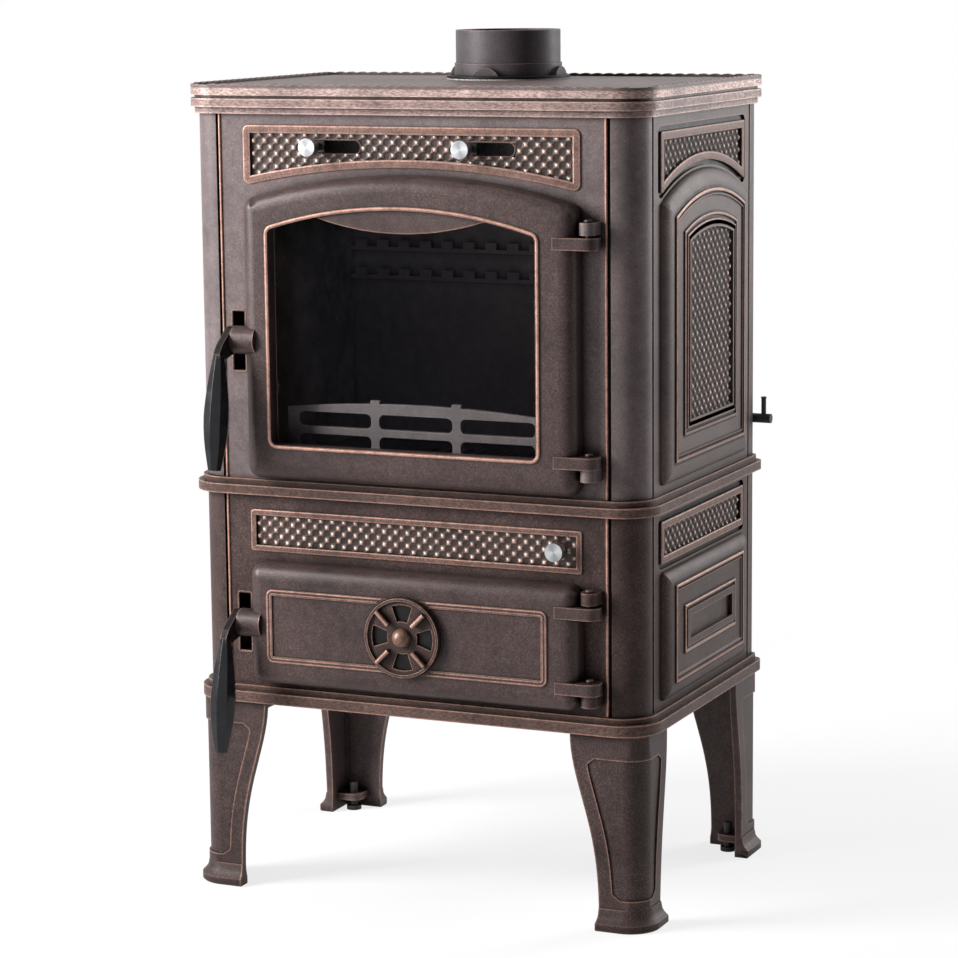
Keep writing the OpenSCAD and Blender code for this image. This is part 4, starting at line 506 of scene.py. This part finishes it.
MAT = {
    "plate": iron("bronzed_iron_plate", *PLATE, edge=0.55, speck=0.16, shaded_recess=[SHADE_BEHIND_FRONT]),
    "side": iron("bronzed_iron_side", *SIDE, edge=0.5, speck=0.12, shaded_recess=[SHADE_BEHIND_SIDE]),
    "post": iron("bronzed_iron_post", *PLATE, edge=0.4, speck=0.1, reach=1.2, shaded_recess=[SHADE_BEHIND_FRONT, SHADE_POST_GROOVE]),
    "door": iron("bronzed_iron_door", *DOOR, edge=0.7, speck=0.10, rough=0.36, shine=0.24),
    # On the ash door, the surface under the valve, seen through the valve's windows, is painted in shade
    "ash_door": iron("bronzed_iron_ash_door", *DOOR, edge=0.7, speck=0.10, rough=0.36, shine=0.24,
                     shaded_recess=[("disc", VALVE_Z, 45.2), ("Y", DOOR_FACE - 0.9, DOOR_FACE - 1.2)]),
    "low_plate": iron("bronzed_iron_low_plate", *LOW, edge=0.55, speck=0.12, shaded_recess=[SHADE_BEHIND_FRONT]),
    "low_side": iron("bronzed_iron_low_side", *LOW, edge=0.5, speck=0.12, shaded_recess=[SHADE_BEHIND_SIDE]),
    "low_post": iron("bronzed_iron_low_post", *LOW, edge=0.4, speck=0.1, reach=1.2, shaded_recess=[SHADE_BEHIND_FRONT, SHADE_POST_GROOVE]),
    "leg": iron("bronzed_iron_leg", *LEG, edge=0.8, speck=0.12, reach=2.2),
    "rear_leg": iron("bronzed_iron_rear_leg", rgb(0.031, 0.0225, 0.0222), rgb(0.074, 0.056, 0.055), edge=0.6,
                     speck=0.14, reach=2.2),
    "iron": iron("bronzed_iron", *LEG, edge=0.5, speck=0.1),
    "rub_and_shade": iron("bronzed_iron_rubbed", rgb(0.06, 0.04, 0.037), rgb(0.2, 0.14, 0.128), PINK, edge=0.8, speck=0.7,
                reach=2.4, streak=GRAIN),
    "low_rub": iron("bronzed_iron_low_rubbed", rgb(0.026, 0.0165, 0.015), rgb(0.07, 0.045, 0.04), edge=1.1,
                    speck=0.32, reach=2.0, streak=GRAIN),
    "top": iron("bronzed_iron_top", rgb(0.07, 0.053, 0.05), rgb(0.13, 0.1, 0.095), PINK, edge=0.45, speck=0.12,
                reach=1.2, streak=GRAIN, rubbed=[("Z", HOB_Z - 0.5, HOB_Z - 2.0)]),
    "trim": iron("bronzed_iron_trim", rgb(0.036, 0.024, 0.022), rgb(0.085, 0.057, 0.052), speck=0.22,
                 use_edges=False),
    "lattice": iron("bronzed_iron_lattice", rgb(0.018, 0.0105, 0.009), rgb(0.042, 0.025, 0.021),
                    rgb(0.72, 0.50, 0.42), speck=0.03, rough=0.36, use_edges=False, shine=0.25),
    "side_lattice": iron("bronzed_iron_side_lattice", rgb(0.015, 0.0095, 0.0085), rgb(0.036, 0.023, 0.021),
                         rgb(0.66, 0.51, 0.46), speck=0.03, rough=0.5, metal=0.0, use_edges=False, shine=0.06),
    "valve": iron("bronzed_iron_valve", rgb(0.028, 0.018, 0.016), rgb(0.06, 0.038, 0.034), rgb(0.56, 0.33, 0.26),
                  edge=0.8, speck=0.1, reach=1.4),
    "dome": iron("bronzed_iron_dome", rgb(0.085, 0.043, 0.03), rgb(0.19, 0.1, 0.07), edge=0.2, speck=0.7,
                 metal=0.3, rough=0.34, shine=0.4),
    "black_iron": iron("black_iron", rgb(0.028, 0.025, 0.026), rgb(0.06, 0.053, 0.055),
                       rgb(0.2, 0.17, 0.16), edge=0.25, speck=0.05, rough=0.5),
    # The collar's foot on the top plate is painted in shade
    "collar": iron("collar_iron", rgb(0.05, 0.043, 0.046), rgb(0.085, 0.073, 0.077), rgb(0.3, 0.22, 0.19),
                   edge=0.7, speck=0.06, reach=1.4, shaded_recess=[("Z", HOB_Z + 6.0, HOB_Z + 4.5)]),
    # The guard and the liner are grey iron, partly painted light: both are lightened to stand in for the light
    # that reaches the firebox through the glass, the liner most
    "guard": iron("grey_iron", rgb(0.12, 0.105, 0.107), rgb(0.2, 0.175, 0.178), rgb(0.34, 0.29, 0.27),
                  edge=0.5, speck=0.1, rough=0.55),
    "liner": iron("grey_iron_liner", rgb(0.2, 0.175, 0.178), rgb(0.32, 0.285, 0.29), rgb(0.42, 0.37, 0.35),
                  edge=0.4, speck=0.1, rough=0.55),
    "back": iron("bronzed_iron_back", rgb(0.05, 0.038, 0.037), rgb(0.1, 0.078, 0.076), edge=0.5, speck=0.14),
    "lever": iron("lever_black", rgb(0.008, 0.007, 0.007), rgb(0.015, 0.013, 0.013), rgb(0.3, 0.19, 0.15),
                  edge=0.4, speck=0.0, rough=0.3),
    "grip": plain_metal("grip_black", rgb(0.004, 0.004, 0.0055), rgb(0.008, 0.008, 0.01), 0.14, 0.0, 60.0,
                        shine=0.3),
    "steel": plain_metal("plain_steel", rgb(0.1, 0.095, 0.092), rgb(0.18, 0.172, 0.168), 0.45, 0.6),
    "glass": glass_material(),
    "rope": rope_material(),
    "brick": brick_material(),
}

# Every node is dressed by its slot in the record, and these kinds of casting by name
BY_SLOT = {"cast_iron": "iron", "black_iron": "black_iron", "steel": "steel", "liner": "brick",
           "rope": "rope", "grip": "grip", "glass": "glass", "satin_knob": "steel"}
slots = {s["node"]: s["material_slot"] for s in frame["record"]["subparts"]}


def dress(name, mat):
    ob = NODES[name]
    if not ob.material_slots:
        ob.data.materials.append(mat)
    for s in ob.material_slots:
        s.material = mat


for name in NODES:
    dress(name, MAT[BY_SLOT.get(slots.get(name, "cast_iron"), "iron")])
WEAR = {"rub_and_shade": ("cornice",), "top": ("top_plate",), "low_rub": ("middle_band", "base_frame"),
        "plate": ("upper_front_plate",), "post": ("upper_front_posts",), "low_post": ("lower_front_posts",),
        "side": ("upper_left_side_plate", "upper_right_side_plate"),
        "low_plate": ("lower_front_plate",),
        "low_side": ("lower_left_side_plate", "lower_right_side_plate"),
        "door": ("fire_door", "hinge_pins"), "ash_door": ("ash_door",), "valve": ("spin_valve",),
        "dome": ("spin_valve_bolt",), "collar": ("flue_collar",), "guard": ("log_guard",),
        "liner": ("back_liner",), "back": ("upper_back_plate", "lower_back_plate"),
        "leg": ("front_left_leg", "front_right_leg"), "rear_leg": ("rear_left_leg", "rear_right_leg"),
        "black_iron": ("leg_bolts", "levelling_screws", "rear_air_flap", "latch_pockets"),
        "lever": ("fire_door_latch", "ash_door_latch", "fire_door_latch_pin", "ash_door_latch_pin")}
for key, names in WEAR.items():
    for name in names:
        dress(name, MAT[key])
dress("left_air_slide", turned_metal("turned_left", AIR_KNOB_X[0], AIR_Z))
dress("right_air_slide", turned_metal("turned_right", AIR_KNOB_X[1], AIR_Z))
dress("riddling_grate", turned_metal("turned_riddling", RIDDLE_X, RIDDLE_Z))


# ---------- soft edges on the castings ----------

def soften(name, width, segments=2):
    """Joins the facets of a flat face and rounds the edges by a width in millimetres."""
    ob = NODES[name]
    w = ob.modifiers.new("weld", "WELD")
    w.merge_threshold = 0.00001
    d = ob.modifiers.new("flat", "DECIMATE")
    d.decimate_type = "DISSOLVE"
    d.angle_limit = math.radians(0.6)
    b = ob.modifiers.new("edge", "BEVEL")
    b.width = width * MM
    b.segments = segments
    b.limit_method = "ANGLE"
    b.angle_limit = math.radians(32)
    b.harden_normals = False
    b.use_clamp_overlap = True
    n = ob.modifiers.new("normals", "WEIGHTED_NORMAL")
    n.keep_sharp = False
    n.weight = 50


SOFT = ((0.5, 2, ("upper_front_posts", "lower_front_posts", "upper_back_plate", "lower_back_plate", "top_plate")),
        (0.7, 2, ("flue_collar", "log_guard", "hearth_plate", "ash_pan", "hinge_pins")),
        (0.9, 2, ("fire_door_latch", "ash_door_latch", "spin_valve", "left_air_slide", "right_air_slide")),
        (1.2, 3, ("front_left_leg", "front_right_leg", "rear_left_leg", "rear_right_leg")),
        (1.8, 3, ("cornice", "middle_band", "base_frame")))
for width, segments, names in SOFT:
    for name in names:
        soften(name, width, segments)


# ---------- studio and camera ----------

FOCAL_PX, PHOTO_PX = 3113.76, 958
AZ, PITCH, ROLL = math.radians(24.097), math.radians(9.384), math.radians(-0.576)
forward = Vector((-math.sin(AZ) * math.cos(PITCH), math.cos(AZ) * math.cos(PITCH), -math.sin(PITCH)))
right = forward.cross(Vector((0, 0, 1))).normalized()
up = right.cross(forward)
right, up = (right * math.cos(ROLL) + up * math.sin(ROLL), up * math.cos(ROLL) - right * math.sin(ROLL))
cam_data = bpy.data.cameras.new("camera")
cam_data.sensor_width = 36.0
cam_data.lens = FOCAL_PX / PHOTO_PX * cam_data.sensor_width
cam_data.clip_start = 0.05
cam_data.clip_end = 200
cam = bpy.data.objects.new("camera", cam_data)
bpy.context.scene.collection.objects.link(cam)
turn = Matrix((right, up, -forward)).transposed().to_4x4()
cam.matrix_world = Matrix.Translation(Vector((1.42196, -3.18059 + MID * MM, 1.02636))) @ turn
bpy.context.scene.camera = cam
bpy.context.scene.view_settings.view_transform = "Standard"


def area(name, place, target, size, size_y, energy):
    """A white rectangular lamp that points from a place to a target, in metres."""
    data = bpy.data.lights.new(name, "AREA")
    data.shape = "RECTANGLE"
    data.size = size
    data.size_y = size_y
    data.energy = energy
    ob = bpy.data.objects.new(name, data)
    bpy.context.scene.collection.objects.link(ob)
    ob.location = place
    ob.rotation_euler = (Vector(target) - Vector(place)).to_track_quat("-Z", "Y").to_euler()


area("key", (-2.1, -1.62, 1.5), (0, 0, 0.65), 1.1, 1.9, 185)
area("right", (1.9, 2.3, 1.4), (0.2, 0, 0.6), 1.3, 2.0, 74)
area("top", (0.0, 0.3, 2.9), (0, 0, 0.6), 1.6, 1.4, 12)


def seen_ray(nt):
    """1 for the rays that show the studio itself, 0 for those that light the stove."""
    path = node(nt, "ShaderNodeLightPath")
    return calc(nt, "MAXIMUM", calc(nt, "MAXIMUM", path.outputs["Is Camera Ray"], path.outputs["Is Glossy Ray"]),
                path.outputs["Is Transmission Ray"])


world = bpy.data.worlds.new("studio")
bpy.context.scene.world = world
world.use_nodes = True
wt = world.node_tree
sky = wt.nodes["Background"]
put(wt, sky.inputs["Color"], rgb(1, 1, 1))
put(wt, sky.inputs["Strength"], spread(wt, seen_ray(wt), 0.0, 1.0, 0.07, 1.0))


def card(name, corners, mat):
    """A flat surface through four corners, in metres."""
    me = bpy.data.meshes.new(name)
    me.from_pydata(corners, [], [(0, 1, 2, 3)])
    me.materials.append(mat)
    ob = bpy.data.objects.new(name, me)
    bpy.context.scene.collection.objects.link(ob)
    return ob


# The floor glows toward the camera and fades from lit to plain white away from the stove
FLOOR_HALF = 9.0
fm, ft, fp = new_material("studio_floor")
fp.inputs["Base Color"].default_value = rgb(0.88, 0.88, 0.89)
fp.inputs["Roughness"].default_value = 0.7
fp.inputs["Specular IOR Level"].default_value = 0.1
glow = node(ft, "ShaderNodeEmission")
glow.inputs["Color"].default_value = rgb(1, 1, 1)
glow.inputs["Strength"].default_value = 1.0
far = node(ft, "ShaderNodeVectorMath", operation="LENGTH")
put(ft, far.inputs[0], object_place(ft))
share = spread(ft, far.outputs["Value"], 0.6, 1.6, 0.78, 1.0)
mixs = node(ft, "ShaderNodeMixShader")
put(ft, mixs.inputs[0], calc(ft, "MULTIPLY", seen_ray(ft), share))
put(ft, mixs.inputs[1], fp.outputs[0])
put(ft, mixs.inputs[2], glow.outputs[0])
put(ft, ft.nodes["Material Output"].inputs["Surface"], mixs.outputs[0])
floor = card("floor", [(-FLOOR_HALF, -FLOOR_HALF, 0), (FLOOR_HALF, -FLOOR_HALF, 0), (FLOOR_HALF, FLOOR_HALF, 0),
                       (-FLOOR_HALF, FLOOR_HALF, 0)], fm)

# A dark studio card at the front right keeps that side of the iron in shade
cm, ct, cp = new_material("card_black")
put(ct, cp.inputs["Base Color"], blend(ct, noise(ct, object_place(ct), 30.0),
                                       rgb(0.015, 0.015, 0.015), rgb(0.025, 0.025, 0.025)))
cp.inputs["Roughness"].default_value = 0.9
shade_card = card("dark_card", [(1.3, -3.0, 0.0), (3.2, -1.1, 0.0), (3.2, -1.1, 2.6), (1.3, -3.0, 2.6)], cm)
shade_card.visible_camera = False
shade_card.visible_shadow = False


# ---------- pieces ----------

# Profiles are lists of (inset from the outline, height over the face, rub): rubbed to copper above 0, a dark line
# of painted shade below 0
UPPER_FRAME = [(-0.1, 0.0, 0.1), (0.0, 1.2, 0.55), (0.8, 1.75, 0.95), (1.8, 1.85, 0.28), (6.4, 1.85, 0.22),
               (7.5, 1.75, 0.9), (8.3, 1.2, 0.6), (8.55, -2.9, 0.05)]
LOWER_FRAME = [(-0.1, 0.0, 0.1), (0.0, 1.2, 0.5), (0.7, 1.75, 0.9), (1.7, 1.8, 0.1), (4.8, 1.8, 0.1),
               (5.8, 1.75, 0.8), (6.3, 1.2, 0.5), (6.55, -2.9, 0.05)]
SIDE_FRAME = [(-0.1, -2.9, -1.0), (-0.05, -0.5, -0.5), (0.1, 1.2, 0.3), (0.8, 1.75, 0.7), (1.9, 1.85, 0.15),
              (6.4, 1.85, 0.15), (7.5, 1.75, 0.8), (8.1, 1.2, 0.5), (8.5, -2.9, -0.8)]
AIR_RIM = [(-0.2, -2.9, 0.0), (0.2, -1.2, 0.0), (0.9, -0.9, 0.15), (1.7, -1.0, 0.1), (2.2, -2.2, -1.0),
           (2.3, -6.5, -1.0)]
LATCH_RIM = [(-0.1, -0.2, 0.0), (0.1, 0.5, 0.2), (0.9, 0.8, 0.35), (1.9, 0.6, 0.2), (2.5, 0.1, 0.0),
             (2.6, -3.0, -1.0)]
UPPER_LINE = [(18.4, 9.05, -0.2), (19.2, 9.08, -1.0), (22.0, 9.1, -1.0), (22.3, 10.6, 0.5), (23.4, 11.2, 0.9),
              (25.4, 11.2, 0.2), (26.6, 9.1, -0.9), (27.6, 9.08, -1.0), (28.0, 10.4, 0.1), (29.2, 10.5, 0.25),
              (30.2, 9.08, -0.8), (31.2, 9.05, -0.1)]
UPPER_CENTRE = [(45.4, 9.05, -0.1), (46.2, 9.08, -1.0), (48.0, 9.1, -1.0), (48.3, 10.6, 0.3), (49.4, 11.0, 0.6),
                (51.2, 10.8, 0.1), (52.0, 9.1, -0.85), (54.4, 9.1, -0.85), (54.8, 10.8, 0.3),
                (55.8, 11.4, 0.75), (57.0, 11.5, 0.15), (61.4, 11.5, 0.15), (62.6, 11.3, 0.8), (64.0, 7.2, -0.4)]
LOWER_LINE = [(13.6, 9.05, -0.2), (14.4, 9.08, -1.0), (16.4, 9.1, -1.0), (16.7, 10.6, 0.5), (17.8, 11.2, 0.9),
              (19.8, 11.1, 0.2), (21.0, 9.1, -0.9), (22.0, 9.08, -1.0), (22.4, 10.4, 0.1), (23.6, 10.4, 0.2),
              (24.6, 9.08, -0.8), (25.6, 9.05, -0.1)]
LOWER_CENTRE = [(40.6, 9.05, -0.1), (41.4, 9.08, -1.0), (43.6, 9.1, -1.0), (43.9, 10.6, 0.5), (45.0, 11.2, 0.85),
                (46.8, 11.0, 0.2), (48.0, 9.1, -1.0), (49.6, 9.1, -1.0), (50.0, 11.0, 0.5), (51.0, 11.4, 0.85),
                (53.4, 11.4, 0.2), (54.6, 9.1, -1.0), (58.0, 7.2, -1.0)]
WINDOW_BEAD = [(-4.1, 0.1, 0.1), (-3.9, 1.2, 0.7), (-3.0, 1.75, 1.0), (-1.2, 1.75, 1.0), (-0.2, 1.0, 0.8),
               (0.05, -1.5, 0.2)]
ASH_MOULDING = [(-0.1, 0.1, 0.2), (0.1, 1.2, 0.8), (1.1, 1.75, 0.9), (3.2, 1.4, 0.25), (5.0, 1.75, 0.7),
                (6.6, 1.3, 0.8), (7.1, 0.1, 0.1)]
FRAME_IN = 8.5  # from a frame's outline to the lattice in it
UPPER_PANEL_H = 65.5


def moulding(name, outline, profile, place, out, body="stove"):
    bands(name, outline, profile, place, body, MAT["trim"], out)


# Mouldings and lattices of the front plates
FACE = on_front(FRONT)
FRONT_PANEL_W, FRONT_RISE = 198.0, 22
front_top = CORNICE_Z - 12
front_z = front_top - UPPER_PANEL_H
low_top = BAND_Z - 17.5
AIR_SLOTS = ((-122.5, -57.5), (57.5, 122.5))


def in_slot(u, v):
    return any(a - 0.5 < u < b + 0.5 for a, b in AIR_SLOTS) and abs(v - AIR_Z) < 7.0


def near_riddling(u, v):
    """Square of the distance from the riddling rod."""
    return (u - RIDDLE_X) ** 2 + (v - RIDDLE_Z) ** 2


moulding("upper_front_moulding", lambda i: vaulted(FRONT_PANEL_W, front_z, front_top, FRONT_RISE, 7, i),
         UPPER_FRAME, FACE, OUT_FRONT)
moulding("lower_front_moulding", lambda i: rounded(FRONT_PANEL_W, low_top - 46.5, low_top, 5, i), LOWER_FRAME,
         FACE, OUT_FRONT)
lattice("upper_front_lattice", FACE, 189.4, vault_edge(FRONT_PANEL_W, front_z, FRONT_RISE, FRAME_IN),
        lambda u: front_top - FRAME_IN, OUT_FRONT, (3.0, AIR_Z - 1.6), hole=in_slot)
for k, (a, b) in enumerate(AIR_SLOTS):
    moulding("air_slot_rim_%d" % k,
             lambda i: [(x + (a + b) / 2, z) for x, z in
                        rounded((b - a) / 2 + 2.2, AIR_Z - 8.7, AIR_Z + 8.7, 8.2, i)], AIR_RIM, FACE, OUT_FRONT)
lattice("lower_front_lattice", FACE, 191.4, lambda u: low_top - 40, lambda u: low_top - 6.5, OUT_FRONT,
        (0.0, low_top - 23.2), flat=lambda u, v: near_riddling(u, v) < 64,
        hole=lambda u, v: near_riddling(u, v) < 20)

# Copper beads along the posts and rims round the latch slots
for x, tag in ((-226.6, "left"), (226.6, "right")):
    for z0, z1, level in ((UPPER_Z, CORNICE_Z, "upper"), (LOWER_Z, BAND_Z, "lower")):
        bead("%s_post_bead_%s" % (level, tag), [(x, FRONT - 0.1, z0 + 0.3), (x, FRONT - 0.1, z1 - 0.3)], 1.65,
             "stove", 1.0)
for k, z in enumerate(LATCH_Z):
    moulding("latch_slot_rim_%d" % k,
             lambda i: [(x + LATCH_X, y) for x, y in rounded(9.6, z - 38.6, z + 31.6, 3.5, i)], LATCH_RIM, FACE,
             OUT_FRONT)

# Side plates: mouldings, lattices and the frames on the reliefs
RELIEF_W, RELIEF_OUT, SIDE_RISE = 131.5, 9, 29
SIDE_LATTICE_W, CENTRE_LATTICE_W, CENTRE_IN = 122.9, 67.5, 64
side_top, low_side_top = CORNICE_Z - 17, BAND_Z - 13
side_z = side_top - UPPER_PANEL_H
relief_z0, relief_rise = UPPER_Z + 9, 31.0
relief_z1 = relief_z0 + 330.0
low_relief_z0 = LOWER_Z + 8
low_relief_z1 = low_relief_z0 + 141.0


def side_upper(i):
    return vaulted(RELIEF_W, side_z, side_top, SIDE_RISE, 3, i)


def side_lower(i):
    return rounded(RELIEF_W, low_side_top - 46, low_side_top, 3, i)


def relief_upper(i):
    return arched(RELIEF_W, relief_z0, relief_z1, relief_rise, 6, i)


def relief_lower(i, half_w=RELIEF_W):
    return rounded(half_w, low_relief_z0, low_relief_z1, 6, i)


def relief_lower_frame(i):
    return relief_lower(i, RELIEF_W - 6)


def pillow(name, outline, depth, place, body, mat, out, edge=17):
    """A casting's rounded edge, from its side round to its face."""
    turns = [math.radians(a) for a in range(0, 91, 9)]
    stations = [(edge * (1 - math.cos(a)), depth * (math.sin(a) - 1) + 0.08, 0.0) for a in turns]
    bands(name, outline, stations, place, body, mat, out, angle=70)


SIDES = ((1, "right"), (-1, "left"))
for side, tag in SIDES:
    place, out = on_side(side), out_side(side)
    moulding("upper_side_moulding_" + tag, side_upper, SIDE_FRAME, place, out)
    moulding("lower_side_moulding_" + tag, side_lower, SIDE_FRAME, place, out)
    lattice("upper_side_lattice_" + tag, place, SIDE_LATTICE_W, vault_edge(RELIEF_W, side_z, SIDE_RISE, FRAME_IN),
            lambda u: side_top - FRAME_IN, out, (0.0, side_top - 12), look="side_lattice")
    lattice("lower_side_lattice_" + tag, place, SIDE_LATTICE_W, lambda u: low_side_top - 37.5,
            lambda u: low_side_top - FRAME_IN, out, (0.0, low_side_top - 23), look="side_lattice")
    moulding("upper_line_moulding_" + tag, relief_upper, UPPER_LINE, place, out)
    moulding("upper_centre_moulding_" + tag, relief_upper, UPPER_CENTRE, place, out)
    lattice("centre_lattice_" + tag, place, CENTRE_LATTICE_W, lambda u: relief_z0 + CENTRE_IN,
            arch_edge(RELIEF_W, relief_z1, relief_rise, CENTRE_IN), out, (0.0, relief_z0 + 70), floor=7.0,
            look="side_lattice")
    moulding("lower_line_moulding_" + tag, relief_lower_frame, LOWER_LINE, place, out)
    moulding("lower_centre_moulding_" + tag, relief_lower_frame, LOWER_CENTRE, place, out)

# Pillow edges of the doors and of the side reliefs
pillow("fire_door_pillow", lambda i: arched(DOOR_HALF_W, 472, 806, 29, DOOR_CORNER, i), 14, on_door, "fire_door",
       MAT["door"], OUT_FRONT)
pillow("ash_door_pillow", lambda i: rounded(DOOR_HALF_W, 241, 376.5, DOOR_CORNER, i), 14, on_door, "ash_door",
       MAT["door"], OUT_FRONT)
for side, tag in SIDES:
    place, out = on_side(side, HALF_W + RELIEF_OUT), out_side(side)
    pillow("upper_relief_pillow_" + tag, relief_upper, RELIEF_OUT, place, "stove", MAT["side"], out)
    pillow("lower_relief_pillow_" + tag, relief_lower, RELIEF_OUT, place, "stove", MAT["low_side"], out)

# The bead round the window and the ash door's moulding
moulding("window_bead", lambda i: arched(157, 511, 770, 24, 7, i), WINDOW_BEAD, on_front(DOOR_FACE), OUT_FRONT,
         "fire_door")


def ash_moulding_ring(i):
    """The moulding's outline, with its long sides cut small so that it can end at the valve's seat."""
    pts = rounded(167.5, VALVE_Z - 41.25, VALVE_Z + 41.25, 8, i)
    out = []
    for k, p in enumerate(pts):
        q = pts[(k + 1) % len(pts)]
        d = math.dist(p, q)
        n = 60 if d > 200 else (6 if d > 40 else 1)
        out += [(p[0] + (q[0] - p[0]) * s / n, p[1] + (q[1] - p[1]) * s / n) for s in range(n)]
    return out


verts, rub_and_shade = [], []
for i, h, r in ASH_MOULDING:
    ring = ash_moulding_ring(i)
    verts += [(a, DOOR_FACE - h, b) for a, b in ring]
    rub_and_shade += [r] * len(ring)
faces = [quad for quad in ring_faces(len(ASH_MOULDING), len(ring))
         if all(math.hypot(verts[q][0], verts[q][2] - VALVE_Z) > VALVE_SEAT_R for q in quad)]
make("ash_door_moulding", verts, faces, "ash_door", MAT["trim"], OUT_FRONT, rub_and_shade, 50)

# Round crests on the valve's four ribs
for k, turn in enumerate((45, 135, 225, 315)):
    c, s = math.cos(math.radians(turn)), math.sin(math.radians(turn))
    bead("valve_rib_crest_%d" % k, [(c * r, DOOR_FACE - 11.0, VALVE_Z + s * r) for r in (20.1, 26.0, 33.0, 39.9)],
         2.7, "spin_valve", 0.8)

# Grips: eight long facets that swell and taper, as (place along the grip, radius)
GRIP = [(4.5, 6.4), (0, 6.9), (-8, 8.6), (-19.5, 10.5), (-32, 12.3), (-44, 13.55), (-56, 14.5), (-63.4, 14.75),
        (-75, 14.4), (-88, 13.3), (-100, 11.6), (-110, 9.7), (-117, 8.4), (-121.4, 7.6), (-122, 7.0)]
GRIP_LEAN = math.radians(7.4)
GRIP_SIDES = 8
for name, z in zip(("fire_door", "ash_door"), LATCH_Z):
    top = Vector((LATCH_X, FRONT - 17 - 31, z - 18))
    verts = []
    for s, r in GRIP:
        c = top + Vector((0, math.sin(GRIP_LEAN) * s, math.cos(GRIP_LEAN) * s))
        for q in range(GRIP_SIDES):
            a = 2 * math.pi * q / GRIP_SIDES
            x, y = math.cos(a) * r, math.sin(a) * r
            verts.append(tuple(c + Vector((x, y * math.cos(GRIP_LEAN), -y * math.sin(GRIP_LEAN)))))
    faces = ring_faces(len(GRIP), GRIP_SIDES)
    faces.append(tuple(range(GRIP_SIDES)))
    faces.append(tuple((len(GRIP) - 1) * GRIP_SIDES + q for q in range(GRIP_SIDES)))
    ob = make(name + "_grip_facets", verts, faces, name + "_latch", MAT["grip"], None, None, 24)
    bm = bmesh.new()
    bm.from_mesh(ob.data)
    bmesh.ops.recalc_face_normals(bm, faces=bm.faces)
    bm.to_mesh(ob.data)
    bm.free()
    bev = ob.modifiers.new("edge", "BEVEL")
    bev.width = 0.0007
    bev.segments = 2
    bev.limit_method = "ANGLE"
    bev.angle_limit = math.radians(24)
    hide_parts(name + "_grip")
